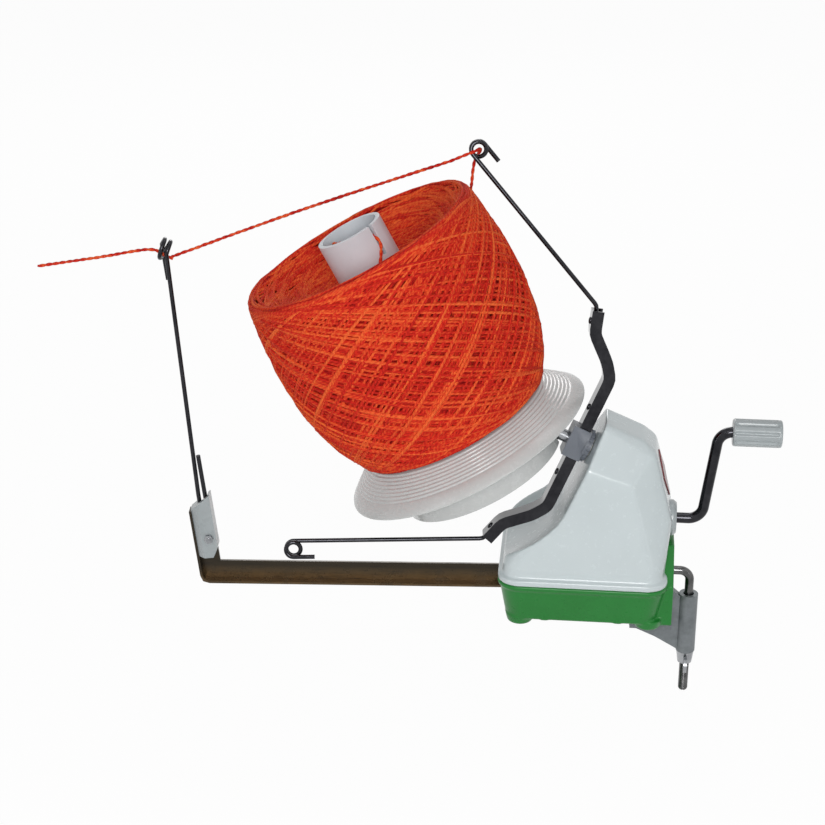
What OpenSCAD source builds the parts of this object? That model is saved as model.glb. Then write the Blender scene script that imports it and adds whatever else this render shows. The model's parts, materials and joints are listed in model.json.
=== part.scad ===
// Yarn ball winder with a tilted spindle, a turning flyer and a yarn guide arm.
// X points along the crank, -Y towards the front, +Z up.
// The origin is on the table, under the middle of the base.

/* [Axes] */
// Angle of the flyer axis above the table
flyer_tilt = 24; // [23.5:0.5:24.5]
// Angle of the spindle away from vertical
spindle_tilt = 28; // [27.5:0.5:28.5]
// Angle at which the flyer stands
flyer_rest = 11; // [0:1:20]
// Hub of the flyer along X
hub_x = -6; // [-7:0.5:-5]
// Height of the flyer hub
hub_z = 107; // [106:0.5:108]
// From the hub to the point where both axes cross
hub_to_cross = 98; // [97:0.5:99]
// From that point down the spindle to the flange rim
cross_to_rim = 51; // [50.5:0.5:51.5]
// Height of the crank axis
crank_z = 59; // [58:0.5:60]

/* [Housing] */
// Length of the base along X
base_l = 100; // [98:1:104]
// Depth of the base along Y
base_d = 84; // [82:1:90]
// Height of the joint between base and cover
rim_z = 29.5; // [29:0.5:30.5]
// Height of the feet
foot_h = 5; // [4.5:0.5:5]
// Thickness of the plastic walls
wall = 2.5; // [2:0.1:2.8]
// Corner radius of the base in plan
corner_r = 12; // [10:1:14]
// How much the base narrows on each side towards the table
draft = 4; // [3:0.5:4]
// Height of the cover at its front edge
cover_top = 125; // [123:1:127]

/* [Gears] */
// Teeth of the gear on the crank
drive_teeth = 36; // [36]
// Teeth of the pinion behind the flyer
flyer_teeth = 12; // [12]
// Teeth of the pinion that drives the bobbin
feed_teeth = 10; // [10]
// Teeth of the gear under the bobbin
bobbin_teeth = 61; // [61]
// Cone distance of the crank gears
drive_cone = 90; // [89:0.5:91]
// Face width of the crank gears
drive_face = 9.5; // [8:0.5:9.5]
// Cone distance of the bobbin gears
feed_cone = 69; // [68.5:0.5:69]
// Face width of the bobbin gears
feed_face = 8; // [7:0.5:8]

/* [Flyer] */
// Width of the arm channel
arm_w = 13; // [12:0.5:14]
// Depth of the arm channel
arm_depth = 7; // [6.5:0.5:7]
// Sheet thickness of the arm
arm_sheet = 1.2; // [1:0.1:1.5]
// Wire radius of the flyer and guide wires
wire_r = 1.35; // [1.2:0.05:1.4]
// Radius of the wire loops, to the middle of the wire
loop_r = 4.4; // [4.2:0.1:4.8]
// Straight length of each flyer wire
wire_len = 113; // [111:1:114]
// Slope of each flyer wire from the arm
wire_slope = 64.3; // [64:0.1:65]

/* [Bobbin] */
// Radius of the flange rim
flange_r = 78; // [76:0.5:78.5]
// Outer radius of the core tube
tube_r = 20; // [19:0.5:21]
// Wall of the core tube
tube_wall = 2.6; // [2.2:0.1:3]
// Top of the core tube above the flange rim
tube_top = 151; // [148:1:154]
// How far the widest yarn stays inside the flange rim
yarn_inset = 0.5; // [0.5:0.5:4]
// Top rim of the wound yarn above the flange rim
yarn_ball_top = 142; // [130:1:142]
// Radius of one yarn strand
strand_r = 1.1; // [0.9:0.1:1.2]

/* [Crank] */
// Radius of the crank rod
crank_r = 3.25; // [3:0.05:3.4]
// Throw of the crank
crank_throw = 58; // [54:1:62]
// Radius of the grip
grip_r = 8.25; // [7.5:0.25:9]
// Length of the grip
grip_l = 29; // [27:1:33]

/* [Guide] */
// How far the guide arm is set round towards the front
guide_yaw = 4; // [3.5:0.5:4.5]
// Reach of the guide arm from the base wall
guide_reach = 186; // [184:1:188]
// Height of the guide bar and width of its upright
bar_w = 13; // [12:0.5:13.5]
// Depth of the bar flange
bar_flange = 6; // [6:0.5:7]
// Sheet thickness of the guide bar
bar_t = 1.5; // [1.5:0.25:2]

/* [Clamp] */
// Distance of the clamp rod from the end plate
rod_gap = 11; // [10.5:0.5:12.5]
// Radius of the bent clamp rod
rod_r = 2.7; // [2.5:0.1:2.8]
// Radius of the threaded end
thread_r = 3; // [3]
// Height of the top of the jaw, below the table top
jaw_z = -10; // [-12:0.5:-9]

/* [Hidden] */
$fn = 64;
fit = 0.05;
shaft_r = 2.5;
sleeve_r = 3.8;
pin_r = 3;
pressure = 25;
tooth_slack = 0.1;
up = [0, 0, 1];
side = [0, 1, 0];
// Unit vectors along and across the flyer axis
f_dir = [-cos(flyer_tilt), 0, sin(flyer_tilt)];
p_dir = [sin(flyer_tilt), 0, cos(flyer_tilt)];
arm_dir = p_dir * cos(flyer_rest) + side * sin(flyer_rest);
arm_side = side * cos(flyer_rest) - p_dir * sin(flyer_rest);
// Unit vectors along and across the spindle
s_dir = [-sin(spindle_tilt), 0, cos(spindle_tilt)];
n_dir = [cos(spindle_tilt), 0, sin(spindle_tilt)];
hub = [hub_x, 0, hub_z];
cross_pt = hub + hub_to_cross * f_dir;
rim_pt = cross_pt - cross_to_rim * s_dir;
feed_angle = 90 - flyer_tilt - spindle_tilt;
// Where the crank axis meets the flyer axis
crank_back = (hub_z - crank_z) / sin(flyer_tilt);
crank_apex_x = hub_x + crank_back * cos(flyer_tilt);
drive_x = crank_apex_x - drive_cone * cos(cone_of(drive_teeth, flyer_teeth, flyer_tilt));
flyer_pinion_t = drive_cone * cos(cone_of(flyer_teeth, drive_teeth, flyer_tilt)) - crank_back;
feed_pinion_t = hub_to_cross - feed_cone * cos(cone_of(feed_teeth, bobbin_teeth, feed_angle));
bobbin_gear_s = cross_to_rim - feed_cone * cos(cone_of(bobbin_teeth, feed_teeth, feed_angle));
// Stations along the flyer axis, from the hub
sleeve_back = -39.7;
sleeve_front = feed_pinion_t + feed_face - 0.4;
frame_face = sleeve_back - 0.3;
shaft_back = frame_face - 6;
bridge_back = feed_pinion_t + feed_face + 0.5;
bridge_front = bridge_back + 6.5;
bowl_t = -8;
// Stations along the spindle, from the flange rim
drum_r = 51;
drum_floor = -20.5;
gear_low = bobbin_gear_s - 1.7;
flange_top = 20;
yarn_ball_r = flange_r - yarn_inset;
belly_s = flange_top + (yarn_ball_top - flange_top) * 70 / 118;
hub_top = 36;
pin_top = 60;
// Housing and clamp
floor_z = foot_h + wall;
base_end = base_l / 2;
plate_x = base_end - 1.5;
plate_out = base_end + 4.5;
rod_x = plate_out + rod_gap;
bearing_r = 7;
boss_r = 11;
bearing_in = plate_x - 2;
boss_x = base_end + 0.4;
frame_back = 38;
gable_r = 12;
// Rounded edges of the cover above the end plate, seen from the side
end_low = [base_end - 6.3, cover_top - 59];
end_high = [base_end - 16, cover_top - 22];
crank_end_x = plate_out + 16.5;
grip_x = crank_end_x + 14;
bar_z = 8.5;
rod_z = 23;
rod_tip = -60.7;
nut_z = jaw_z - 22.6;
jaw_l = 24.5;
post_x = 22;
post_y = base_d / 2 - 7.5;
feet = [for (x = [13 - base_end, base_end - 10], y = [-1, 1]) [x, y * (base_d / 2 - draft - 9)]];
bar_in_x = 20 - base_end;
arm_screw_x = [4 - base_end, 14 - base_end];
upright_x = -base_end - guide_reach;
eye_t = 270.4;
eye_pt = hub + eye_t * f_dir;

// Geometry helpers

function unit(v) = v / norm(v);
function reversed(list) = [for (i = [len(list) - 1:-1:0]) list[i]];
function flyer_pt(v) = hub + v.x * arm_dir + v.y * arm_side + v.z * f_dir;
function spindle_pt(r, turn, s) = rim_pt + r * cos(turn) * n_dir + r * sin(turn) * side + s * s_dir;

module on_flyer() { translate(hub) rotate([0, flyer_tilt - 90, 0]) children(); }
module on_arm() { on_flyer() rotate([0, 0, flyer_rest]) children(); }
module on_spindle() { translate(rim_pt) rotate([0, -spindle_tilt, 0]) children(); }
module on_guide() { translate([-base_end, 0, 0]) rotate([0, 0, guide_yaw]) translate([base_end, 0, 0]) children(); }
module along_x(x, z) { translate([x, 0, z]) rotate([0, 90, 0]) children(); }
module in_xz(depth) { rotate([90, 0, 0]) linear_extrude(depth, center = true) children(); }

module tube(r_out, r_in, from, to) {
    translate([0, 0, from])
    difference() {
        cylinder(r = r_out, h = to - from);
        translate([0, 0, -1]) cylinder(r = r_in, h = to - from + 2);
    }
}

module rounded_plate(l, d, r) {
    square([l - 2 * r, d], center = true);
    square([l, d - 2 * r], center = true);
    for (x = [-1, 1], y = [-1, 1]) translate([x * (l / 2 - r), y * (d / 2 - r)]) circle(r);
}

// Side of a bent strip, moved off its middle line by d
function strip_side(pts, d) = [
    for (i = [0:len(pts) - 1])
        let (before = unit(i > 0 ? pts[i] - pts[i - 1] : pts[1] - pts[0]),
             after = i < len(pts) - 1 ? unit(pts[i + 1] - pts[i]) : before,
             n_before = [-before.y, before.x],
             n_mid = unit(n_before + [-after.y, after.x]))
        pts[i] + n_mid * d / (n_mid * n_before)
];
function strip(pts, low, high) = concat(strip_side(pts, low), reversed(strip_side(pts, high)));

// A line with its corners rounded off, over leg on each side of a corner
function eased(pts, leg) =
    let (n = len(pts) - 1)
    concat([pts[0]], [
        for (i = [1:n - 1], u = [0, 0.5, 1])
            let (a = pts[i] + leg * unit(pts[i - 1] - pts[i]), b = pts[i] + leg * unit(pts[i + 1] - pts[i]))
            (1 - u) * (1 - u) * a + 2 * u * (1 - u) * pts[i] + u * u * b
    ], [pts[n]]);

// Rod bent in one plane: straight cylinders joined by round elbows
module bent_rod(pts, r, bend_r) {
    n = len(pts);
    turn = [
        for (i = [1:n - 2])
            let (a = unit(pts[i] - pts[i - 1]), b = unit(pts[i + 1] - pts[i]))
            atan2(a.x * b.y - a.y * b.x, a * b)
    ];
    cut = [for (i = [0:n - 1]) i == 0 || i == n - 1 ? 0 : bend_r * tan(abs(turn[i - 1]) / 2)];
    // Each straight runs a little way into its elbows, which are a hair thicker
    lap = [for (c = cut) c > 0 ? c - 0.3 : 0];
    for (i = [0:n - 2]) {
        d = unit(pts[i + 1] - pts[i]);
        start = pts[i] + d * lap[i];
        translate([start.x, start.y, 0])
        rotate([0, 90, atan2(d.y, d.x)])
        cylinder(r = r, h = norm(pts[i + 1] - pts[i]) - lap[i] - lap[i + 1]);
    }
    for (i = [1:n - 2]) {
        d = unit(pts[i] - pts[i - 1]);
        sense = sign(turn[i - 1]);
        inward = [-d.y, d.x] * sense;
        centre = pts[i] - d * cut[i] + inward * bend_r;
        begin = atan2(-inward.y, -inward.x);
        translate([centre.x, centre.y, 0])
        rotate([0, 0, min(begin, begin + turn[i - 1])])
        rotate_extrude(angle = abs(turn[i - 1]), $fn = 96)
        translate([bend_r, 0]) circle(r + 0.02);
    }
}

// Tube along a list of points, one closed skin
function tangents(pts) = [
    for (i = [0:len(pts) - 1]) unit(pts[min(i + 1, len(pts) - 1)] - pts[max(i - 1, 0)])
];
function normals(tan_list, first) = [
    for (i = 0, n = unit(first - tan_list[0] * (first * tan_list[0])); i < len(tan_list);
         i = i + 1, n = i < len(tan_list) ? unit(n - tan_list[i] * (n * tan_list[i])) : n) n
];

module swept_wire(pts, r, sides = 10, first = [0.31, 0.93, 0.17]) {
    t = tangents(pts);
    n = normals(t, first);
    rings = [
        for (i = [0:len(pts) - 1], k = [0:sides - 1])
            let (a = 360 * k / sides, b = cross(t[i], n[i]))
            pts[i] + r * (cos(a) * n[i] + sin(a) * b)
    ];
    last = (len(pts) - 1) * sides;
    walls = [
        for (i = [0:len(pts) - 2], k = [0:sides - 1])
            let (a = i * sides + k, b = i * sides + (k + 1) % sides)
            each [[a, a + sides, b], [b, a + sides, b + sides]]
    ];
    ends = [
        [for (k = [0:sides - 1]) k],
        [for (k = [sides - 1:-1:0]) last + k]
    ];
    polyhedron(rings, concat(walls, ends));
}

// Points on a smooth curve through a few hand-placed points
function spline_pt(a, b, c, d, u) =
    0.5 * (2 * b + (c - a) * u + (2 * a - 5 * b + 4 * c - d) * u * u
        + (3 * b - a - 3 * c + d) * u * u * u);
function smooth(pts, steps) = concat([
    for (i = [0:len(pts) - 2], k = [0:steps - 1])
        spline_pt(pts[max(i - 1, 0)], pts[i], pts[i + 1], pts[min(i + 2, len(pts) - 1)], k / steps)
], [pts[len(pts) - 1]]);

// Bevel gear teeth, drawn on the back cone and shrunk towards the apex

function cone_of(teeth, mate, angle) = atan(sin(angle) / (mate / teeth + cos(angle)));
function involute(a) = tan(a) * 180 / PI - a;

function tooth_half(r, rv, nv) =
    let (rb = rv * cos(pressure))
    90 / nv + involute(pressure) - involute(acos(min(1, rb / max(r, rb)))) - tooth_slack / rv * 180 / PI;

function tooth_side(rv, nv, cone, cone_r, steps = 3) =
    let (m = 2 * rv / nv, low = rv - m, high = rv + 0.8 * m)
    [
        for (k = [0:steps])
            let (r = low + (high - low) * k / steps)
            [cone_r * cos(cone) * tan(cone + (r - rv) / cone_r * 180 / PI), tooth_half(r, rv, nv) / cos(cone)]
    ];

module bevel_teeth(teeth, mate, angle, cone_r, face, phase) {
    cone = cone_of(teeth, mate, angle);
    flank = tooth_side(cone_r * tan(cone), teeth / cos(cone), cone, cone_r);
    polar = [
        for (i = [0:teeth - 1])
            let (mid = phase + 360 * i / teeth)
            each concat([for (q = flank) [q[0], mid - q[1]]], [for (q = reversed(flank)) [q[0], mid + q[1]]])
    ];
    linear_extrude(face * cos(cone), scale = 1 - face / cone_r)
    polygon([for (q = polar) q[0] * [cos(q[1]), sin(q[1])]]);
}

// Base and cover

module tub(inset) {
    hull() {
        translate([0, 0, foot_h])
        linear_extrude(0.1) rounded_plate(base_l - 2 * draft - 2 * inset, base_d - 2 * draft - 2 * inset, corner_r - inset);
        translate([0, 0, rim_z - 0.1])
        linear_extrude(0.1) rounded_plate(base_l - 2 * inset, base_d - 2 * inset, corner_r - inset);
    }
}

module foot() {
    rotate_extrude()
    polygon([[0, 0], [6, 0], for (a = [-90:15:0]) [6 + 2 * cos(a), 2 + 2 * sin(a)], [9, foot_h + 1], [0, foot_h + 1]]);
}

// Gable of the end plate, wider by gap
module gable(gap) {
    half = base_d / 2 - 11 + gap;
    neck = gable_r + gap;
    top = crank_z - 13 + gap;
    polygon([[-half, 1], [half, 1], [half, rim_z - 2], [neck, top], [-neck, top], [-half, rim_z - 2]]);
}

module end_plate(from, to, gap) {
    translate([from, 0, 0]) rotate([90, 0, 90]) linear_extrude(to - from) gable(gap);
}

module bar_slot() {
    on_guide() translate([-base_end - 10, -bar_flange - 0.3, bar_z - 0.3]) cube([24, bar_flange + bar_t + 0.6, bar_w + 0.6]);
}

module screw(r, length, head_r, head_h) {
    cylinder(r = r, h = length);
    translate([0, 0, length]) cylinder(r = head_r, h = head_h);
}

module base_tray() {
    color([0.15, 0.47, 0.22])
    difference() {
        union() {
            difference() {
                union() {
                    tub(0);
                    translate([0, 0, rim_z - 3]) linear_extrude(3) rounded_plate(base_l + 1.6, base_d + 1.6, corner_r + 0.8);
                }
                intersection() {
                    tub(wall);
                    translate([-100, -100, floor_z]) cube([200, 200, 100]);
                }
                translate([0, 0, rim_z - 4])
                linear_extrude(5) rounded_plate(base_l - 2 * wall, base_d - 2 * wall, corner_r - wall);
            }
            for (p = feet) translate(p) foot();
            for (x = [-1, 1], y = [-1, 1])
                translate([x * post_x, y * post_y, foot_h]) cylinder(r = 4.5, h = rim_z - foot_h);
            on_guide() for (x = arm_screw_x) translate([x, arm_screw_y, foot_h]) cylinder(r = 3.2, h = bar_z - foot_h);
            end_plate(plate_x - 3.5, plate_out, 0);
        }
        for (x = [-1, 1], y = [-1, 1]) translate([x * post_x, y * post_y, 0]) {
            cylinder(r = 1.5, h = 40);
            cylinder(r = 3.2, h = foot_h + 3);
        }
        on_guide() for (x = arm_screw_x) translate([x, arm_screw_y, foot_h + 0.6]) cylinder(r = 1.4, h = 20);
        for (p = frame_holes()) translate([p.x, p.y, foot_h + 0.6]) cylinder(r = 1.5, h = 20);
        bar_slot();
        along_x(plate_x, rod_z) cylinder(r = rod_r, h = 20);
    }
}

// Rounded body of the cover, moved in by inset
module cover_form(inset) {
    l = base_end - 12;
    d = base_d / 2 - 12;
    top_y = base_d / 2 - 17.5;
    hull() {
        for (y = [-1, 1]) {
            for (x = [-l, l], z = [30, 38]) translate([x, y * d, z]) sphere(10 - inset, $fn = 32);
            translate([base_end - 8, y * 18, 40]) sphere(8 - inset, $fn = 24);
            translate([end_low.x, y * 18, end_low.y]) sphere(8 - inset, $fn = 24);
            translate([end_high.x, y * 12, end_high.y]) sphere(8 - inset, $fn = 24);
            translate([8, y * 10, cover_top - 6]) sphere(6 - inset, $fn = 24);
            translate([base_end - 20, y * 10, cover_top - 15.5]) sphere(6 - inset, $fn = 24);
            translate([-2, y * top_y, cover_top - 25]) sphere(6 - inset, $fn = 24);
            translate([base_end - 25, y * top_y, cover_top - 34]) sphere(6 - inset, $fn = 24);
        }
    }
}

// Space that the flyer sweeps in front of the cover, moved back by depth
module flyer_bowl(depth) {
    bend = [[52, 1], [62, 5.5], [70, 11], [79, 19]];
    on_flyer() translate([0, 0, bowl_t - depth]) rotate_extrude($fn = 96)
    polygon(concat([[0, 0], [44, 0]], bend, [[130, 66], [130, 250], [0, 250]]));
}

module cover() {
    color([0.77, 0.81, 0.82])
    difference() {
        union() {
            difference() {
                difference() {
                    cover_form(0);
                    flyer_bowl(0);
                }
                difference() {
                    cover_form(wall);
                    flyer_bowl(wall);
                }
                translate([-100, -100, rim_z - 100]) cube([200, 200, 100]);
            }
            difference() {
                translate([0, 0, rim_z]) linear_extrude(4) rounded_plate(base_l + 1.6, base_d + 1.6, corner_r + 0.8);
                translate([0, 0, rim_z - 1])
                linear_extrude(6) rounded_plate(base_l - 2 * wall - 3, base_d - 2 * wall - 3, corner_r - wall - 1.5);
            }
            for (x = [-1, 1], y = [-1, 1])
                translate([x * post_x, y * post_y, rim_z]) cylinder(r = 4.5, h = 12);
            on_flyer() translate([0, 0, bowl_t - 6]) cylinder(r = 9, h = 5);
        }
        end_plate(plate_x - 8.5, plate_out + 15.5, 0.4);
        along_x(plate_x - 8.5, crank_z) cylinder(r = bearing_r, h = 30);
        along_x(boss_x, crank_z) cylinder(r = boss_r, h = 30);
        for (x = [-1, 1], y = [-1, 1]) translate([x * post_x, y * post_y, rim_z - 1]) cylinder(r = 1.5, h = 10);
        on_flyer() translate([0, 0, bowl_t - 10]) cylinder(r = 6.2, h = 20);
    }
}

module nose_bush() {
    color([0.55, 0.56, 0.56])
    on_flyer() tube(6.2, sleeve_r + fit, bowl_t - 6, bowl_t);
}

module cover_screws() {
    color([0.7, 0.7, 0.72])
    for (x = [-1, 1], y = [-1, 1])
        translate([x * post_x, y * post_y, rim_z + 8]) mirror(up) screw(1.5, rim_z + 8 - foot_h - 3, 2.9, 2.2);
}

// A plain diamond plate on the sloping end of the cover
module side_badge() {
    slope = unit(end_high - end_low);
    out = [slope.y, -slope.x];
    mid = (end_low + end_high) / 2 + 8 * out;
    color([0.3, 0.06, 0.07])
    translate([mid.x, 0, mid.y]) rotate([0, atan2(out.x, out.y), 0])
    translate([-2.5, 0, 0]) linear_extrude(0.8) polygon([[-15.5, 0], [0, -10.5], [15.5, 0], [0, 10.5]]);
}

// Frame, shafts and bearings

function frame_holes() = [for (x = [14, 28], y = [-17, 17]) [x, y]];

module gear_frame() {
    color([0.62, 0.63, 0.64])
    difference() {
        union() {
            translate([4, -21, floor_z]) cube([34, 42, 3]);
            translate([4, -11, floor_z]) cube([5, 22, crank_z + 9 - floor_z]);
            translate([frame_back - 5, -11, floor_z]) cube([5, 22, crank_z + 27 - floor_z]);
            on_flyer() translate([0, 0, shaft_back]) cylinder(r = 7.5, h = frame_face - shaft_back);
        }
        along_x(0, crank_z) cylinder(r = crank_r + fit, h = 60);
        on_flyer() translate([0, 0, shaft_back - 1]) cylinder(r = shaft_r, h = 20);
        for (p = frame_holes()) translate([p.x, p.y, 0]) cylinder(r = 1.5, h = 20);
    }
}

module frame_screws() {
    color([0.7, 0.7, 0.72])
    for (p = frame_holes()) translate([p.x, p.y, foot_h + 0.6]) screw(1.5, wall + 2.4, 2.9, 2);
}

module support_shaft() {
    color([0.75, 0.76, 0.78])
    on_flyer() translate([0, 0, shaft_back]) cylinder(r = shaft_r, h = bridge_front - shaft_back);
}

module crank_bearing() {
    color([0.6, 0.61, 0.62])
    along_x(0, crank_z) difference() {
        union() {
            translate([0, 0, bearing_in]) cylinder(r = bearing_r, h = boss_x - bearing_in);
            translate([0, 0, boss_x]) rotate_extrude()
            polygon([[0, 0], [boss_r, 0], [boss_r, 2.6], [boss_r - 1.6, 4.6], [0, 4.6]]);
        }
        translate([0, 0, bearing_in - 1]) cylinder(r = crank_r + fit, h = 30);
    }
}

// Spindle carrier: a shallow drum held on the end of the support shaft

module spindle_carrier() {
    color([0.8, 0.81, 0.78])
    difference() {
        union() {
            on_spindle() difference() {
                translate([0, 0, drum_floor]) cylinder(r = drum_r, h = 6 - drum_floor, $fn = 96);
                translate([0, 0, drum_floor + 2.2]) cylinder(r = drum_r - 2, h = 50, $fn = 96);
            }
            on_spindle() translate([0, 0, drum_floor]) cylinder(r = 8, h = gear_low - 0.3 - drum_floor);
            on_spindle() for (y = [-9.75, 9.75]) translate([0, y, 0])
                in_xz(2.5) polygon([[41, drum_floor + 1], [50, drum_floor + 1], [50, 6], [46, 11], [34, 11], [34, 3], [41, 3]]);
            on_flyer() translate([-3.8, -11, bridge_back]) cube([9.8, 22, bridge_front - bridge_back]);
        }
        on_flyer() cylinder(r = 5, h = 28);
        on_flyer() cylinder(r = shaft_r, h = 60);
        on_spindle() translate([0, 0, drum_floor + 0.5]) cylinder(r = pin_r, h = 40);
    }
}

module spindle_pin() {
    color([0.75, 0.76, 0.78])
    on_spindle() translate([0, 0, drum_floor + 0.5]) cylinder(r = pin_r, h = pin_top - drum_floor - 0.5);
}

module spindle_cap() {
    color([0.5, 0.5, 0.52])
    on_spindle() tube(6, pin_r, hub_top + 0.4, hub_top + 3.4);
}

// Bobbin: flange, core tube, gear and wound yarn

module bobbin_flange() {
    ridges = 9;
    top_in = [flange_r - 21, flange_top - 0.8];
    top_out = [flange_r - 5.5, 5.6];
    ridge = [
        for (i = [0:ridges - 1], k = [0, 0.55])
            let (u = (i + k) / ridges)
            top_in + (top_out - top_in) * u + (k > 0 ? [0.35, 0.3] : [0, 0])
    ];
    color([0.81, 0.8, 0.78])
    on_spindle() rotate_extrude($fn = 128)
    polygon(concat(
        [[pin_r + fit, 1], [14, 1], [14, flange_top - 2.4], [flange_r - 24, flange_top - 2.4], [flange_r - 16, 13.5],
         [flange_r - 3, 0.4], [flange_r - 0.6, 0], [flange_r, 0.7], [flange_r - 0.7, 2]],
        reversed(ridge),
        [[flange_r - 23, flange_top], [tube_r - tube_wall, flange_top], [tube_r - tube_wall, hub_top], [pin_r + fit, hub_top]]));
}

module core_tube() {
    color([0.72, 0.71, 0.74])
    on_spindle() difference() {
        tube(tube_r, tube_r - tube_wall, flange_top, tube_top);
        rotate([0, 0, -38]) translate([0, -1.3, tube_top - 19]) cube([tube_r + 5, 2.6, 30]);
    }
}

module bobbin_gear() {
    color([0.85, 0.84, 0.78])
    on_spindle() difference() {
        union() {
            translate([0, 0, bobbin_gear_s]) bevel_teeth(bobbin_teeth, feed_teeth, feed_angle, feed_cone, feed_face, 0);
            translate([0, 0, gear_low]) cylinder(r = 12, h = 1 - gear_low);
        }
        translate([0, 0, -50]) cylinder(r = pin_r + fit, h = 100);
    }
}

// Outline of the wound yarn at height s above the flange rim
function barrel(s) =
    s < belly_s
        ? yarn_ball_r - 18.5 * pow((belly_s - s) / (belly_s - flange_top), 2.6)
        : yarn_ball_r - 5.5 * pow((s - belly_s) / (yarn_ball_top - belly_s), 2);

module yarn_package() {
    low = flange_top + 0.2;
    rim = yarn_ball_top;
    outside = [for (i = [0:22]) let (s = low + (rim - 3 - low) * i / 22) [barrel(s), s]];
    mouth = [yarn_ball_r - 8.5, tube_r + 7];
    hollow = [for (i = [0:8]) let (u = i / 8) [mouth.x + (mouth.y - mouth.x) * u, rim - 1 - 20 * sin(90 * u)]];
    color([0.72, 0.19, 0.14])
    on_spindle() rotate_extrude($fn = 128)
    polygon(concat([[tube_r, low]], outside, [[yarn_ball_r - 7.5, rim]], hollow, [[tube_r, rim - 21]]));
}

// Flyer: sleeve, pinions, hub, arm and wires

module flyer_sleeve() {
    color([0.7, 0.71, 0.73])
    on_flyer() tube(sleeve_r, shaft_r + fit, sleeve_back, sleeve_front);
}

module flyer_pinion() {
    color([0.85, 0.84, 0.78])
    difference() {
        translate(hub + flyer_pinion_t * f_dir) rotate([0, 90 + flyer_tilt, 0])
        bevel_teeth(flyer_teeth, drive_teeth, flyer_tilt, drive_cone, drive_face, 15);
        on_flyer() translate([0, 0, -80]) cylinder(r = sleeve_r, h = 100);
    }
}

module feed_pinion() {
    color([0.85, 0.84, 0.78])
    on_flyer() difference() {
        translate([0, 0, feed_pinion_t]) bevel_teeth(feed_teeth, bobbin_teeth, feed_angle, feed_cone, feed_face, 18);
        cylinder(r = sleeve_r, h = 100);
    }
}

arm_half = [[0, 0], [43, 0], [51.5, 6], [64, 20], [77, 24]];
arm_path = eased(concat([for (i = [4:-1:1]) [-arm_half[i].x, arm_half[i].y]], arm_half), 3);

// The same path carried on past both ends, for a cut that opens the channel there
function longer(path, by) =
    let (n = len(path) - 1, head = path[0] - path[1], tail = path[n] - path[n - 1])
    concat([path[0] + by * head / norm(head)], path, [path[n] + by * tail / norm(tail)]);

module arm_solid() {
    edge = arm_depth / 2;
    difference() {
        in_xz(arm_w) polygon(strip(arm_path, -edge, edge));
        in_xz(arm_w - 2 * arm_sheet) polygon(strip(longer(arm_path, 3), -edge - 2, edge - arm_sheet));
    }
}

// Rivets on the arm: place on the path and lean of the sheet there
function rivet_places() = [for (s = [-1, 1], q = [[22, 0, 0], [70.5, 22, 17.1]]) [s * q.x, q.y, s * q.z]];

module at_rivets() {
    for (q = rivet_places())
        translate([q.x, 0, q.y]) rotate([0, -q.z, 0]) translate([0, 0, arm_depth / 2 - arm_sheet]) children();
}

module flyer_arm() {
    color([0.2, 0.2, 0.22])
    on_arm() difference() {
        arm_solid();
        translate([0, 0, -20]) cylinder(r = sleeve_r, h = 40);
        at_rivets() translate([0, 0, -0.5]) cylinder(r = 1.2, h = 5);
    }
}

module flyer_rivets() {
    color([0.35, 0.35, 0.37])
    on_arm() at_rivets() {
        cylinder(r = 1.2, h = arm_sheet);
        translate([0, 0, arm_sheet])
        rotate_extrude() polygon([[0, 0], [2.1, 0], for (a = [0:15:90]) [2.1 * cos(a), 0.3 + 0.8 * sin(a)]]);
    }
}

module flyer_hub() {
    back = bowl_t + 0.5;
    color([0.5, 0.52, 0.53])
    on_arm() difference() {
        union() {
            translate([-9.5, -8.2, -4.5]) cube([19, 16.4, 11.5]);
            translate([0, 0, back]) cylinder(r = 9.3, h = -3.5 - back);
            for (a = [0:20:340]) rotate([0, 0, a]) translate([8.6, -0.7, back + 0.4]) cube([1.6, 1.4, -5.4 - back]);
        }
        arm_solid();
        translate([0, 0, -20]) cylinder(r = sleeve_r, h = 40);
    }
}

// Flyer wire in arm coordinates: root in the channel, leg, loop of a turn and a half, tail
function flyer_wire_pts() =
    let (root = [66, 0, 21.5], mouth = [77.5, 0, 25.2],
         u = [cos(wire_slope), 0, sin(wire_slope)],
         out = [sin(wire_slope), 0, -cos(wire_slope)],
         knee = mouth + [2.4, 0, 2.4],
         top = knee + wire_len * u,
         mid = top + loop_r * out,
         pitch = 2 * wire_r + 0.5)
    concat(
        [root, mouth, mouth + [1.4, 0, 0.9], knee],
        [for (i = [0:36]) let (a = 15 * i) mid - loop_r * cos(a) * out + loop_r * sin(a) * u + [0, pitch * a / 360, 0]],
        [mid + loop_r * out + [0, 1.5 * pitch, 0] - 13 * u]);

module flyer_wire(turn) {
    color([0.25, 0.25, 0.28])
    on_flyer() rotate([0, 0, flyer_rest + turn]) swept_wire(flyer_wire_pts(), wire_r);
}

module flyer_wire_upper() { flyer_wire(0); }
module flyer_wire_lower() { flyer_wire(180); }

// Crank

module crank_rod() {
    grip_z = crank_z + crank_throw;
    color([0.3, 0.31, 0.33])
    rotate([90, 0, 0])
    bent_rod([[4.5, crank_z], [crank_end_x - 1, crank_z], [crank_end_x + 6.5, grip_z], [grip_x + grip_l - 3, grip_z]], crank_r, 9);
}

module drive_gear() {
    color([0.85, 0.84, 0.78])
    along_x(0, crank_z) difference() {
        union() {
            translate([0, 0, drive_x]) bevel_teeth(drive_teeth, flyer_teeth, flyer_tilt, drive_cone, drive_face, 0);
            translate([0, 0, 9.4]) cylinder(r = 9, h = 23.2);
        }
        cylinder(r = crank_r, h = 60);
    }
}

module crank_collar() {
    color([0.45, 0.45, 0.47])
    along_x(0, crank_z) tube(6.5, crank_r, frame_back + 0.4, bearing_in - 0.5);
}

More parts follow.
